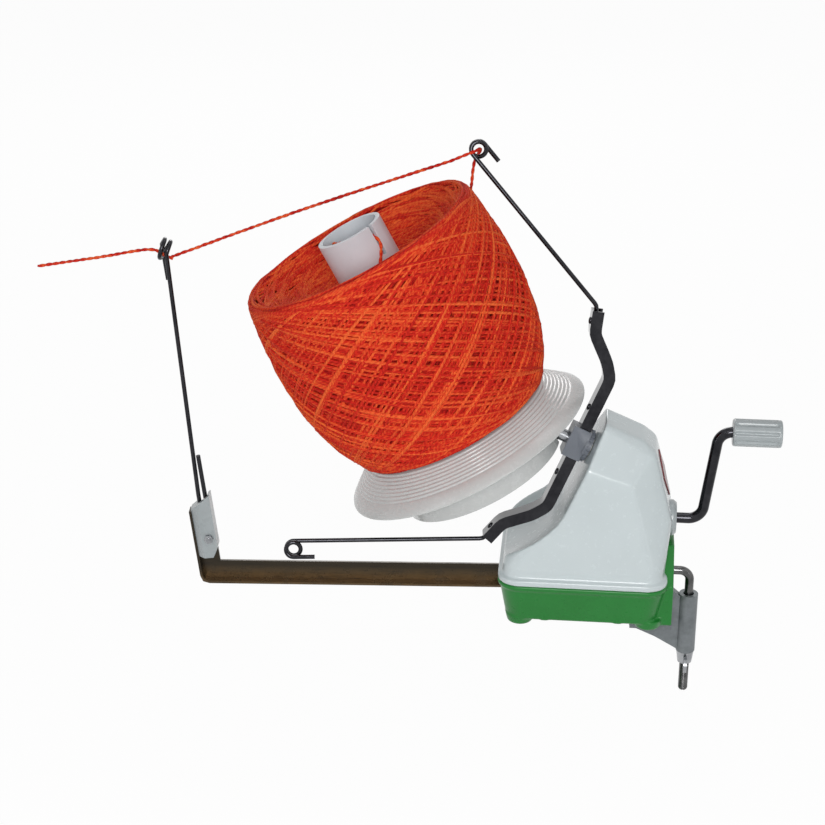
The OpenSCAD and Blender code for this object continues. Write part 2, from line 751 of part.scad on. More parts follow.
module crank_grip() {
    grip_z = crank_z + crank_throw;
    color([0.67, 0.7, 0.7])
    along_x(grip_x, grip_z) difference() {
        rotate_extrude() polygon([[0, 0], [grip_r - 1, 0], [grip_r, 1], [grip_r, grip_l - 1], [grip_r - 1, grip_l], [0, grip_l]]);
        translate([0, 0, -1]) cylinder(r = crank_r + fit, h = grip_l - 1);
    }
}

// Yarn guide: pressed angle arm, clamp block and wire with a coiled eye

guide_lean = 6.6;
bar_corner = [upright_x, bar_z];
bar_top = bar_corner + 49.5 * [-sin(guide_lean), cos(guide_lean)];
arm_screw_y = -3.4;
// Holder on the upright, in its own leaning coordinates
holder_w = 13;
holder_y = -4.6;
holder_front = -9.4;
bolt_at = [bar_t + 8.7, 32];
leg_at = [bar_t + 6, 54];

module on_upright() {
    on_guide() translate([upright_x, 0, bar_z]) rotate([0, -guide_lean, 0]) children();
}

module guide_arm() {
    outer = eased([[bar_in_x, bar_z], bar_corner, bar_top], 5);
    inner = strip_side([[bar_in_x, bar_z], bar_corner, bar_top], -bar_w);
    color([0.2, 0.17, 0.11])
    difference() {
        on_guide() union() {
            translate([0, bar_t / 2, 0]) in_xz(bar_t) polygon(concat(outer, reversed(inner)));
            translate([0, (bar_t - bar_flange) / 2, 0]) in_xz(bar_flange + bar_t) polygon(strip(outer, -bar_t, 0));
        }
        on_guide() for (x = arm_screw_x) translate([x, arm_screw_y, 0]) cylinder(r = 1.4, h = 20);
        on_upright() translate([bolt_at.x, 0, bolt_at.y]) rotate([90, 0, 0]) cylinder(r = 1.5, h = 20, center = true);
    }
}

module arm_screws() {
    color([0.7, 0.7, 0.72])
    on_guide() for (x = arm_screw_x) translate([x, arm_screw_y, foot_h + 0.6]) screw(1.4, bar_z + bar_t - foot_h - 0.6, 2.4, 1.8);
}

module guide_holder() {
    right = bar_t + holder_w;
    color([0.68, 0.7, 0.66])
    on_upright() difference() {
        translate([0, holder_front / 2, 0]) in_xz(-holder_front)
            polygon([[bar_t, 18.5], [right - 3.5, 18.5], [right, 25], [right, 60.5], [bar_t, 51.5]]);
        translate([bar_t, holder_front, 40]) rotate([0, 0, 45]) cube([5.6, 5.6, 100], center = true);
        translate([leg_at.x - wire_r - 0.1, holder_y - wire_r - 0.1, leg_at.y - 17]) cube([4 + 2 * wire_r + 0.2, 20, 40]);
        translate([bolt_at.x, 0, bolt_at.y]) rotate([90, 0, 0]) cylinder(r = 1.5, h = 40, center = true);
    }
}

module guide_bolt() {
    color([0.6, 0.6, 0.62])
    on_upright() translate([bolt_at.x, bar_t, bolt_at.y]) rotate([90, 0, 0]) {
        cylinder(r = 1.5, h = bar_t - holder_front + 2.6);
        translate([0, 0, bar_t - holder_front]) cylinder(r = 3, h = 2, $fn = 6);
        translate([0, 0, -1.8]) cylinder(r = 2.8, h = 1.8);
    }
}

// Guide wire in guide coordinates: stub, hairpin in the block, long leg, looped eye round the flyer axis, tail
function guide_local(v) =
    let (d = v + [base_end, 0, 0])
    [d.x * cos(guide_yaw) + d.y * sin(guide_yaw) - base_end, d.y * cos(guide_yaw) - d.x * sin(guide_yaw), d.z];

function guide_wire_pts() =
    let (d = [-sin(guide_lean), 0, cos(guide_lean)], e = [cos(guide_lean), 0, sin(guide_lean)],
         foot = [upright_x, holder_y, bar_z] + leg_at.x * e + leg_at.y * d,
         low = foot - 13 * d,
         coil_r = loop_r + 1.2,
         eye = eye_pt + (coil_r - wire_r - strand_r - 0.05) * p_dir,
         pitch = 3.6,
         turns = 1.5,
         coil = [
             for (i = [0:36])
                 let (a = 360 * turns * i / 36)
                 guide_local(eye + pitch * (a / 360 - 0.5 * turns) * f_dir
                     + coil_r * (sin(a) * p_dir - cos(a) * side))
         ])
    concat(
        [foot + 4 * e + 32 * d],
        [for (a = [0:30:180]) low + 2 * e + 2 * cos(a) * e - 2 * sin(a) * d],
        [foot, foot + 6 * d],
        coil,
        [coil[36] - 4 * d, coil[36] - 22 * d]);

module guide_wire() {
    color([0.25, 0.25, 0.28])
    on_guide() swept_wire(guide_wire_pts(), wire_r);
}

// Table clamp

module clamp_rod() {
    color([0.55, 0.56, 0.58]) {
        rotate([90, 0, 0]) bent_rod([[plate_x + 0.5, rod_z], [rod_x, rod_z], [rod_x, -18]], rod_r, 6);
        translate([rod_x, 0, rod_tip]) cylinder(r = thread_r, h = -18 - rod_tip);
    }
}

module clamp_jaw() {
    sleeve_top = 7.4;
    low = nut_z + 0.2;
    color([0.43, 0.45, 0.46])
    difference() {
        union() {
            translate([rod_x, 0, low]) cylinder(r = 5.85, h = sleeve_top - low);
            in_xz(5) polygon([[plate_out + 1.2, jaw_z], [plate_out + 1.2, 10], [rod_x - 4, 5], [rod_x - 4, low + 0.5],
                              [plate_out - 8.5, jaw_z - 13], [plate_out - jaw_l, jaw_z - 6], [plate_out - jaw_l, jaw_z]]);
            translate([plate_out - jaw_l, -11, jaw_z - 3]) cube([jaw_l + 1.2, 22, 3]);
        }
        translate([rod_x, 0, -80]) cylinder(r = thread_r + 0.2, h = 120);
    }
}

module wing_nut() {
    color([0.55, 0.56, 0.58])
    translate([rod_x, 0, nut_z]) difference() {
        union() {
            mirror(up) cylinder(r1 = 5.5, r2 = 4.4, h = 8);
            for (y = [-1, 1]) translate([0, y * 8, -6.5]) rotate([0, 90, 0]) {
                translate([0, 0, -1]) cylinder(r = 5, h = 2);
                translate([-3.5, y > 0 ? -5.5 : 0, -1]) cube([7, 5.5, 2]);
            }
        }
        translate([0, 0, -30]) cylinder(r = thread_r + fit, h = 60);
    }
}

// Yarn strands

function supply_pts() = smooth([
    eye_pt + [-75.4, 0, -10.2], eye_pt + [-38, 0, -3.4], eye_pt + [-14, 0, 1.6],
    eye_pt + 5 * f_dir + 0.3 * p_dir, eye_pt, eye_pt - 4.6 * f_dir], 6);

function lead_end() = flyer_pt(loop_mid() + [0, 2.2, 0]);
function loop_mid() =
    let (w = flyer_wire_pts())
    (w[4] + w[16]) / 2;

function lead_pts() = concat(
    smooth([flyer_pt([1.5, 0, eye_t - 6.5]), flyer_pt([60, -1, 204.5]), flyer_pt([120, -2.8, 140])], 4),
    smooth([flyer_pt(loop_mid() + [-3.4, -2.9, 3.5]), flyer_pt(loop_mid() + [-1.2, -2.4, 1.2]),
            flyer_pt(loop_mid() + [-0.2, 0.2, 0.2]), lead_end()], 4));

function laydown_pts() =
    let (s = yarn_ball_top - 10, r = barrel(s) + strand_r + 0.3)
    smooth([flyer_pt(loop_mid() + [0, 2.45, -0.06]), flyer_pt(loop_mid() + [-0.3, 5.4, -1.4]),
            spindle_pt(r + 9.4, 21.5, s + 17), spindle_pt(r + 4.8, 22, s + 11),
            spindle_pt(r + 1.5, 23, s + 5.5), spindle_pt(r, 28, s)], 5);

module yarn_supply() { color([0.85, 0.28, 0.15]) swept_wire(supply_pts(), strand_r, 8); }
module yarn_lead() { color([0.85, 0.28, 0.15]) swept_wire(lead_pts(), strand_r, 8); }
module yarn_laydown() { color([0.85, 0.28, 0.15]) swept_wire(laydown_pts(), strand_r, 8); }

base_tray();
cover();
crank_bearing();
gear_frame();
support_shaft();
spindle_carrier();
spindle_pin();
spindle_cap();
guide_arm();
guide_holder();
guide_wire();
guide_bolt();
clamp_rod();
cover_screws();
frame_screws();
arm_screws();
side_badge();
nose_bush();
flyer_sleeve();
flyer_pinion();
feed_pinion();
flyer_hub();
flyer_arm();
flyer_wire_upper();
flyer_wire_lower();
flyer_rivets();
crank_rod();
drive_gear();
crank_collar();
crank_grip();
bobbin_flange();
core_tube();
bobbin_gear();
yarn_package();
clamp_jaw();
wing_nut();
yarn_supply();
yarn_lead();
yarn_laydown();
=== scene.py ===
"""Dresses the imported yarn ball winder: moulded housing, dark wire flyer, cone of wound yarn."""

import json
import math

import bmesh
import bpy
import numpy as np
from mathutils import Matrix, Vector


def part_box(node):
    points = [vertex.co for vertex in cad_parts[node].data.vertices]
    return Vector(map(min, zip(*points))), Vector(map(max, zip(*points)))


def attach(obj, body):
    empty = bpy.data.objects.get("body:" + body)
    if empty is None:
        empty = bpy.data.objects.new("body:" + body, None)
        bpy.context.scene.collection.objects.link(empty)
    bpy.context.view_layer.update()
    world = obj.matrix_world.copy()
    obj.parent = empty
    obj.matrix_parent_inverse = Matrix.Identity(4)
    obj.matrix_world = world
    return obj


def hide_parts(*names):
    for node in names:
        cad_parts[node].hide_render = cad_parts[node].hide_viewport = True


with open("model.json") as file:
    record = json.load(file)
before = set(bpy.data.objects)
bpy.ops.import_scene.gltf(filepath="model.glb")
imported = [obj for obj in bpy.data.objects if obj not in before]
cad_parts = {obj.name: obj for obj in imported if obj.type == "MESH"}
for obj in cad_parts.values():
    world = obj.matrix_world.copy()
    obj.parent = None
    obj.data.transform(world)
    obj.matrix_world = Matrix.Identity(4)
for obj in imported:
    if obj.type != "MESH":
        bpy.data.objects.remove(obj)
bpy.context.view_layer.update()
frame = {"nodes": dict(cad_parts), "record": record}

MM = 0.001
TURN = 2 * math.pi

# Directions of the flyer axis and the spindle, and the points they hang on, in millimetres
FLYER_TILT = math.radians(24)
FLYER_REST = math.radians(11)
SPINDLE_TILT = math.radians(28)
SIDE = np.array([0.0, 1.0, 0.0])
FLYER_AXIS = np.array([-math.cos(FLYER_TILT), 0, math.sin(FLYER_TILT)])
FLYER_UP = np.array([math.sin(FLYER_TILT), 0, math.cos(FLYER_TILT)])
ARM_OUT = FLYER_UP * math.cos(FLYER_REST) + SIDE * math.sin(FLYER_REST)
ARM_ACROSS = SIDE * math.cos(FLYER_REST) - FLYER_UP * math.sin(FLYER_REST)
SPINDLE_AXIS = np.array([-math.sin(SPINDLE_TILT), 0, math.cos(SPINDLE_TILT)])
SPINDLE_OUT = np.array([math.cos(SPINDLE_TILT), 0, math.sin(SPINDLE_TILT)])
HUB = np.array([-6.0, 0, 107])
HUB_TO_CROSS = 98
CROSS_TO_RIM = 51
HUB_TO_EYE = 270.4
RIM = HUB + HUB_TO_CROSS * FLYER_AXIS - CROSS_TO_RIM * SPINDLE_AXIS
EYE = HUB + HUB_TO_EYE * FLYER_AXIS

# Radii of yarn and wire, and the ball of yarn in heights above the flange rim
STRAND_R = 1.1
WOUND_R = 0.84
WIRE_R = 1.35
LOOP_R = 4.4
ROD_BORE = 3.35
FLANGE_TOP = 20.0
BALL_TOP = 142.0
BALL_R = 77.5
BALL_DRAWN_IN = 18.5
BALL_ROUNDING = 2.6
BALL_SHOULDER = 5.5
BELLY = FLANGE_TOP + (BALL_TOP - FLANGE_TOP) * 70 / 118
TUBE_GAP_R = 20.1
HOLLOW_SPAN = 42
HOLLOW_DEPTH = 20
HOLLOW_INSET = 8.3
HOLLOW_SINK = 1.1
FEED_TEETH = 10
BOBBIN_TEETH = 61
BOBBIN_STEP = FEED_TEETH / BOBBIN_TEETH
TURNS_A_LAYER = BOBBIN_TEETH
POINTS_A_TURN = 64


def flyer_point(v):
    """A point given in arm coordinates: out along the arm, across it, forward on the flyer axis."""
    return HUB + v[0] * ARM_OUT + v[1] * ARM_ACROSS + v[2] * FLYER_AXIS


def spindle_points(radius, azimuth, height):
    """Points around the spindle, from radius, azimuth in radians and height above the flange rim."""
    radius, azimuth, height = np.broadcast_arrays(radius, azimuth, height)
    out = (radius * np.cos(azimuth))[..., None] * SPINDLE_OUT
    across = (radius * np.sin(azimuth))[..., None] * SIDE
    return RIM + out + across + height[..., None] * SPINDLE_AXIS


def ball_radius(height):
    """Radius of the wound yarn at a height above the flange rim."""
    height = np.asarray(height, float)
    below = np.clip(BELLY - height, 0, None) / (BELLY - FLANGE_TOP)
    above = (height - BELLY) / (BALL_TOP - BELLY)
    low = BALL_R - BALL_DRAWN_IN * below**BALL_ROUNDING
    high = BALL_R - BALL_SHOULDER * above**2
    return np.where(height < BELLY, low, high)


def hollow_place(u, inset, sink):
    """Radius and height on the hollow top of the ball, from its rim at 0 to the tube at 1."""
    radius = BALL_R - inset - HOLLOW_SPAN * u
    height = BALL_TOP - sink - HOLLOW_DEPTH * np.sin(0.5 * math.pi * u)
    return radius, height


def smooth_route(points, steps):
    """A spline through the points, of the kind that the solids of the yarn follow."""
    points = [np.asarray(p, float) for p in points]
    last = len(points) - 1
    route = []
    for i in range(last):
        a, b, c, d = points[max(i - 1, 0)], points[i], points[i + 1], points[min(i + 2, last)]
        square = 2 * a - 5 * b + 4 * c - d
        cube = 3 * b - a - 3 * c + d
        for k in range(steps):
            t = k / steps
            route.append(0.5 * (2 * b + (c - a) * t + square * t**2 + cube * t**3))
    route.append(points[last])
    return np.array(route)


def distances(route):
    """How far along a route each of its points lies."""
    return np.concatenate([[0], np.cumsum(np.linalg.norm(np.diff(route, axis=0), axis=1))])


def evenly(route, step):
    """The same route with points about step apart."""
    run = distances(route)
    count = max(2, int(round(run[-1] / step)) + 1)
    at = np.linspace(0, run[-1], count)
    return np.stack([np.interp(at, run, route[:, i]) for i in range(3)], axis=1)


# Node trees for the finishes


def linear(red, green, blue):
    """A colour as seen, 0 to 255, in the linear values that sockets take."""
    values = [c / 255 for c in (red, green, blue)]
    return tuple(c / 12.92 if c <= 0.04045 else ((c + 0.055) / 1.055) ** 2.4 for c in values) + (1.0,)


def node(tree, kind, values=None, links=None, **settings):
    made = tree.nodes.new(kind)
    for name, value in settings.items():
        setattr(made, name, value)
    for key, value in (values or {}).items():
        made.inputs[key].default_value = value
    for key, source in (links or {}).items():
        tree.links.new(source, made.inputs[key])
    return made


def blank(name):
    material = bpy.data.materials.new(name)
    material.use_nodes = True
    tree = material.node_tree
    return material, tree, tree.nodes["Principled BSDF"]


def noise(tree, at, scale, detail=3.0, roughness=0.5):
    values = {"Scale": scale, "Detail": detail, "Roughness": roughness}
    return node(tree, "ShaderNodeTexNoise", values, {"Vector": at}).outputs["Fac"]


def ramp(tree, factor, stops):
    made = node(tree, "ShaderNodeValToRGB", links={"Fac": factor})
    elements = made.color_ramp.elements
    while len(elements) < len(stops):
        elements.new(1.0)
    for element, (place, colour) in zip(elements, stops):
        element.position = place
        element.color = colour
    return made.outputs["Color"]


def spread(tree, value, low, high, start=0.25, end=0.75):
    values = {"From Min": start, "From Max": end, "To Min": low, "To Max": high}
    return node(tree, "ShaderNodeMapRange", values, {"Value": value}).outputs["Result"]


def sums(tree, operation, first, second):
    made = node(tree, "ShaderNodeMath", operation=operation)
    for socket, value in zip(made.inputs, (first, second)):
        if isinstance(value, (int, float)):
            socket.default_value = value
        else:
            tree.links.new(value, socket)
    return made.outputs["Value"]


def blend_colour(tree, factor, first, second):
    made = node(tree, "ShaderNodeMix", data_type="RGBA")
    colour_inputs = [s for s in made.inputs if s.type == "RGBA"]
    for socket, value in zip([made.inputs[0]] + colour_inputs, (factor, first, second)):
        if isinstance(value, (int, float, tuple)):
            socket.default_value = value
        else:
            tree.links.new(value, socket)
    return [s for s in made.outputs if s.type == "RGBA"][0]


def bump(tree, shader, height, strength, distance):
    values = {"Strength": strength, "Distance": distance}
    made = node(tree, "ShaderNodeBump", values, {"Height": height})
    tree.links.new(made.outputs["Normal"], shader.inputs["Normal"])


def moulded_plastic(name, colour, shade, gloss, grain, shine=0.5, worn=0.25, coat=0.0):
    """Injection-moulded plastic: faint clouding, fine skin grain, paler rubbed edges, a soft gloss."""
    material, tree, shader = blank(name)
    at = node(tree, "ShaderNodeTexCoord").outputs["Object"]
    cloud = noise(tree, at, 34, 5, 0.6)
    skin = noise(tree, at, 1500, 2)
    scuff = noise(tree, at, 260, 6, 0.7)
    body = ramp(tree, cloud, [(0.3, shade), (0.72, colour)])
    edge = node(tree, "ShaderNodeNewGeometry").outputs["Pointiness"]
    rub = sums(tree, "MULTIPLY", spread(tree, edge, 0.0, worn, 0.58, 0.7), scuff)
    pale = tuple(min(1.0, 0.55 * c + 0.45) for c in colour[:3]) + (1.0,)
    tree.links.new(blend_colour(tree, rub, body, pale), shader.inputs["Base Color"])
    tree.links.new(spread(tree, scuff, gloss, gloss + 0.16, 0.3, 0.72), shader.inputs["Roughness"])
    shader.inputs["Specular IOR Level"].default_value = shine
    shader.inputs["Coat Weight"].default_value = coat
    shader.inputs["Coat Roughness"].default_value = 0.2
    bump(tree, shader, sums(tree, "ADD", skin, sums(tree, "MULTIPLY", scuff, 0.4)), grain, 0.0002)
    return material


def weighed(tree, first, share, second, other_share):
    """Two values added up, each times its share."""
    part = sums(tree, "MULTIPLY", first, share)
    other_part = sums(tree, "MULTIPLY", second, other_share)
    return sums(tree, "ADD", part, other_part)


def metal(name, colour, shade, gloss, grain=0.06, metallic=1.0):
    """Bright or dulled metal with a fine grain, patchy tarnish and small scratches."""
    material, tree, shader = blank(name)
    at = node(tree, "ShaderNodeTexCoord").outputs["Object"]
    fine = noise(tree, at, 900, 4, 0.6)
    patch = noise(tree, at, 60, 5, 0.65)
    scratch = noise(tree, at, 240, 8, 0.75)
    tone = weighed(tree, patch, 0.6, scratch, 0.4)
    tree.links.new(ramp(tree, tone, [(0.36, shade), (0.62, colour)]), shader.inputs["Base Color"])
    shader.inputs["Metallic"].default_value = metallic
    tree.links.new(spread(tree, tone, gloss, gloss + 0.06, 0.35, 0.65), shader.inputs["Roughness"])
    bump(tree, shader, sums(tree, "ADD", fine, scratch), grain, 0.00015)
    return material


# Heights in millimetres: the bar's painted highlight is gone above the first and full below the second.
BAR_PAINTED_GLOW_ENDS_ABOVE = 18.5
BAR_PAINTED_GLOW_FULL_BELOW = 12.5


def tarnished_bar_painted_glow(name, dark, painted_glow, edge):
    """Rolled bar gone dark, with drawn streaks and stains; its lower half is painted lighter and warmer, a
    painted highlight.
    """
    material, tree, shader = blank(name)
    at = node(tree, "ShaderNodeTexCoord").outputs["Object"]
    height = node(tree, "ShaderNodeSeparateXYZ", links={"Vector": at}).outputs["Z"]
    drawn = node(tree, "ShaderNodeMapping", {"Scale": (0.05, 1, 1)}, {"Vector": at}).outputs["Vector"]
    streak = noise(tree, drawn, 700, 5, 0.65)
    stain = noise(tree, at, 75, 6, 0.7)
    # Painted highlight: towards the bottom the bar is blended to the lighter, warmer colour, broken up by
    # the stains.
    low = spread(tree, height, 0.0, 1.0, BAR_PAINTED_GLOW_ENDS_ABOVE * MM, BAR_PAINTED_GLOW_FULL_BELOW * MM)
    painted_glow_share = sums(tree, "MULTIPLY", low, spread(tree, stain, 0.35, 1.0, 0.3, 0.6))
    body = blend_colour(tree, painted_glow_share, dark, painted_glow)
    marked = blend_colour(tree, spread(tree, streak, 0.0, 0.55, 0.52, 0.68), body, edge)
    tree.links.new(marked, shader.inputs["Base Color"])
    shader.inputs["Metallic"].default_value = 0.55
    tree.links.new(spread(tree, stain, 0.2, 0.38, 0.3, 0.7), shader.inputs["Roughness"])
    bump(tree, shader, sums(tree, "ADD", streak, stain), 0.06, 0.00015)
    return material


PLIES = 2
PLY_PITCH = 6.0


def spun_yarn(name, deep, middle, bright):
    """Soft spun yarn: uneven tone along each strand, painted shade on the deeper wound layers, a faint ply
    twist and loose fibres.
    """
    material, tree, shader = blank(name)
    at = node(tree, "ShaderNodeTexCoord").outputs["Object"]
    along = node(tree, "ShaderNodeAttribute", attribute_name="strand_along").outputs["Fac"]
    ring = node(tree, "ShaderNodeAttribute", attribute_name="strand_ring").outputs["Vector"]
    tone = node(tree, "ShaderNodeAttribute", attribute_name="strand_tone_and_shade").outputs["Fac"]
    parts = node(tree, "ShaderNodeSeparateXYZ", links={"Vector": ring})
    angle = sums(tree, "ARCTAN2", parts.outputs["Y"], parts.outputs["X"])
    phase = weighed(tree, along, TURN * 1000 / PLY_PITCH * PLIES, angle, PLIES)
    wave = node(tree, "ShaderNodeMath", links={0: phase}, operation="SINE").outputs["Value"]
    ply = spread(tree, wave, 0, 1, -1, 1)
    fibre = noise(tree, at, 1700, 5, 0.75)
    slub = noise(tree, at, 330, 3, 0.6)
    fine = weighed(tree, ply, 0.1, fibre, 0.34)
    broad = weighed(tree, tone, 0.42, slub, 0.34)
    mixed = sums(tree, "ADD", fine, broad)
    colour = ramp(tree, mixed, [(0.34, deep), (0.6, middle), (0.86, bright)])
    tree.links.new(colour, shader.inputs["Base Color"])
    tree.links.new(spread(tree, fibre, 0.7, 0.95), shader.inputs["Roughness"])
    shader.inputs["Sheen Weight"].default_value = 0.12
    shader.inputs["Sheen Roughness"].default_value = 0.4
    shader.inputs["Sheen Tint"].default_value = linear(255, 140, 70)
    shader.inputs["Specular IOR Level"].default_value = 0.15
    height = sums(tree, "ADD", sums(tree, "MULTIPLY", ply, 0.25), fibre)
    bump(tree, shader, height, 0.5, 0.0005)
    return material


GREEN = moulded_plastic("green_moulding", linear(30, 124, 48), linear(26, 116, 42), 0.24, 0.04, shine=0.35)
GREY = moulded_plastic(
    "grey_cover_moulding", linear(202, 212, 214), linear(199, 209, 211), 0.16, 0.012, worn=0.1, coat=0.25
)
WHITE = moulded_plastic(
    "white_bobbin_moulding", linear(198, 200, 199), linear(192, 194, 193), 0.18, 0.012, coat=0.2
)
TUBE_WHITE = moulded_plastic("tube_moulding", linear(214, 219, 224), linear(204, 209, 215), 0.26, 0.04)
HUB_GREY = moulded_plastic("hub_moulding", linear(116, 121, 130), linear(98, 103, 112), 0.28, 0.08)
GRIP_GREY = moulded_plastic(
    "grip_moulding", linear(166, 173, 175), linear(152, 160, 162), 0.22, 0.05, coat=0.3
)
NYLON = moulded_plastic("gear_nylon", linear(228, 224, 208), linear(214, 208, 190), 0.42, 0.1)
BADGE = moulded_plastic("badge_enamel", linear(122, 24, 28), linear(92, 16, 20), 0.2, 0.08)
CAST = metal("cast_jaw_grey", linear(124, 129, 132), linear(104, 109, 112), 0.4, 0.14, 0.4)
ROD_STEEL = metal("rod_steel", linear(106, 106, 106), linear(70, 70, 71), 0.1, 0.03)
STEEL = metal("bright_steel", linear(176, 178, 180), linear(128, 130, 134), 0.2)
FRAME = metal("pressed_frame_steel", linear(150, 150, 148), linear(120, 120, 118), 0.34)
CHROME = metal("dark_chrome", linear(56, 56, 59), linear(40, 40, 43), 0.08, 0.02)
# Bronze bar: dark body, a lighter colour painted on its lower half as a highlight, and the streak colour.
BRONZE = tarnished_bar_painted_glow("dark_bronze_bar", linear(46, 38, 25), linear(94, 74, 46), linear(30, 25, 18))
YARN = spun_yarn("orange_yarn", linear(144, 8, 14), linear(212, 41, 28), linear(246, 114, 55))
# A darker copy of the yarn for the bed under the strands: painted shade.
YARN_BED_PAINTED_SHADE = spun_yarn("orange_yarn_bed_painted_shade", linear(126, 8, 10), linear(172, 20, 15), linear(204, 38, 22))

BODY_OF = {n: body for body, names in frame["record"]["behaviour"]["bodies"].items() for n in names}


def put(piece, body, slot, *nodes):
    """Links a finished piece, rides it on its body and hides the solids it stands in for."""
    if piece.name not in bpy.context.scene.collection.objects:
        bpy.context.scene.collection.objects.link(piece)
    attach(piece, body)
    if nodes:
        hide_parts(*nodes)
    return piece


def strand_tree():
    """Geometry nodes that sweep a round strand along the edges of a mesh and note the place on it."""
    tree = bpy.data.node_groups.new("swept_strand", "GeometryNodeTree")
    face = tree.interface
    face.new_socket("Route", in_out="INPUT", socket_type="NodeSocketGeometry")
    face.new_socket("Radius", in_out="INPUT", socket_type="NodeSocketFloat")
    face.new_socket("Sides", in_out="INPUT", socket_type="NodeSocketInt")
    face.new_socket("Finish", in_out="INPUT", socket_type="NodeSocketMaterial")
    face.new_socket("Strand", in_out="OUTPUT", socket_type="NodeSocketGeometry")
    given = node(tree, "NodeGroupInput")
    line = node(tree, "GeometryNodeMeshToCurve", links={"Mesh": given.outputs["Route"]})
    run = node(tree, "GeometryNodeSplineParameter")
    marked = node(
        tree,
        "GeometryNodeStoreNamedAttribute",
        {"Name": "strand_along"},
        data_type="FLOAT",
        domain="POINT",
    )
    tree.links.new(line.outputs["Curve"], marked.inputs["Geometry"])
    tree.links.new(run.outputs["Length"], marked.inputs["Value"])
    width = node(tree, "GeometryNodeInputNamedAttribute", {"Name": "strand_width"}, data_type="FLOAT")
    circle = node(
        tree,
        "GeometryNodeCurvePrimitiveCircle",
        links={"Resolution": given.outputs["Sides"], "Radius": given.outputs["Radius"]},
        mode="RADIUS",
    )
    ring = node(
        tree,
        "GeometryNodeStoreNamedAttribute",
        {"Name": "strand_ring"},
        data_type="FLOAT_VECTOR",
        domain="POINT",
    )
    tree.links.new(circle.outputs["Curve"], ring.inputs["Geometry"])
    tree.links.new(node(tree, "GeometryNodeInputPosition").outputs["Position"], ring.inputs["Value"])
    swept_mesh = node(
        tree,
        "GeometryNodeCurveToMesh",
        {"Fill Caps": True},
        {
            "Curve": marked.outputs["Geometry"],
            "Profile Curve": ring.outputs["Geometry"],
            "Scale": width.outputs["Attribute"],
        },
    )
    soft = node(tree, "GeometryNodeSetShadeSmooth", links={"Geometry": swept_mesh.outputs["Mesh"]})
    real = node(tree, "GeometryNodeRealizeInstances", links={"Geometry": soft.outputs["Geometry"]})
    painted = node(
        tree,
        "GeometryNodeSetMaterial",
        links={"Geometry": real.outputs["Geometry"], "Material": given.outputs["Finish"]},
    )
    node(tree, "NodeGroupOutput", links={"Strand": painted.outputs["Geometry"]})
    return tree


STRAND_TREE = strand_tree()


def baked(holder, name):
    """The evaluated shape of an object as a plain mesh object at the origin."""
    graph = bpy.context.evaluated_depsgraph_get()
    shaped = holder.evaluated_get(graph)
    mesh = bpy.data.meshes.new_from_object(shaped, preserve_all_data_layers=True, depsgraph=graph)
    bpy.data.objects.remove(holder)
    mesh.name = name
    return bpy.data.objects.new(name, mesh)


def swept(name, routes, radius, sides, finish, tones=None, widths=None):
    """One mesh of round strands along routes in millimetres, thicker and thinner by their widths."""
    points = np.concatenate(routes) * MM
    edges = []
    start = 0
    for route in routes:
        count = len(route)
        edges.extend((start + i, start + i + 1) for i in range(count - 1))
        start += count
    mesh = bpy.data.meshes.new(name + "_route")
    mesh.from_pydata(points.tolist(), edges, [])
    for key, given, plain in (("strand_tone_and_shade", tones, 0.5), ("strand_width", widths, 1.0)):
        values = np.concatenate(given) if given else np.full(len(points), plain)
        mesh.attributes.new(key, "FLOAT", "POINT").data.foreach_set("value", values)
    holder = bpy.data.objects.new(name + "_route", mesh)
    bpy.context.scene.collection.objects.link(holder)
    sweep = holder.modifiers.new("sweep", "NODES")
    sweep.node_group = STRAND_TREE
    keys = {i.name: i.identifier for i in STRAND_TREE.interface.items_tree if i.in_out == "INPUT"}
    sweep[keys["Radius"]] = radius * MM
    sweep[keys["Sides"]] = sides
    sweep[keys["Finish"]] = finish
    return baked(holder, name)


CREASE = 35
EDGE_STEPS = 2
SAME_PLACE = 0.002
FLAT_ANGLE = math.radians(0.6)


def smoothed(mesh):
    mesh.polygons.foreach_set("use_smooth", [True] * len(mesh.polygons))


def face_outward(mesh):
    form = bmesh.new()
    form.from_mesh(mesh)
    bmesh.ops.recalc_face_normals(form, faces=form.faces)
    form.to_mesh(mesh)
    form.free()


def from_faces(name, points, faces, finish, sharp=CREASE):
    """A mesh object from points in metres, with smooth faces and creases kept sharp."""
    mesh = bpy.data.meshes.new(name)
    mesh.from_pydata(points, [], faces)
    mesh.materials.append(finish)
    smoothed(mesh)
    mesh.set_sharp_from_angle(angle=math.radians(sharp))
    return bpy.data.objects.new(name, mesh)


def merged_copy(cad_name, finish, sharp=CREASE, flatten=True):
    """A copy of a solid with its loose triangles joined up."""
    form = bmesh.new()
    form.from_mesh(frame["nodes"][cad_name].data)
    bmesh.ops.remove_doubles(form, verts=form.verts, dist=SAME_PLACE * MM)
    if flatten:
        bmesh.ops.dissolve_limit(
            form, angle_limit=FLAT_ANGLE, verts=form.verts, edges=form.edges, delimit=set()
        )
    points = [tuple(v.co) for v in form.verts]
    index = {v: i for i, v in enumerate(form.verts)}
    faces = [[index[v] for v in f.verts] for f in form.faces]
    form.free()
    return from_faces(cad_name + "_form", points, faces, finish, sharp)


def dressed(cad_name, slot, finish, edge=0.0, sharp=CREASE):
    """A solid's own shape with eased edges and a smooth finish, in place of the solid."""
    piece = merged_copy(cad_name, finish, sharp)
    if edge:
        ease = piece.modifiers.new("eased_edges", "BEVEL")
        ease.width = edge * MM
        ease.segments = EDGE_STEPS
        ease.limit_method = "ANGLE"
        ease.angle_limit = math.radians(sharp)
        ease.use_clamp_overlap = True
        ease.harden_normals = False
        bpy.context.scene.collection.objects.link(piece)
        piece = baked(piece, cad_name + "_form")
    return put(piece, BODY_OF[cad_name], slot, cad_name)


MOULD_GRAIN = 0.85


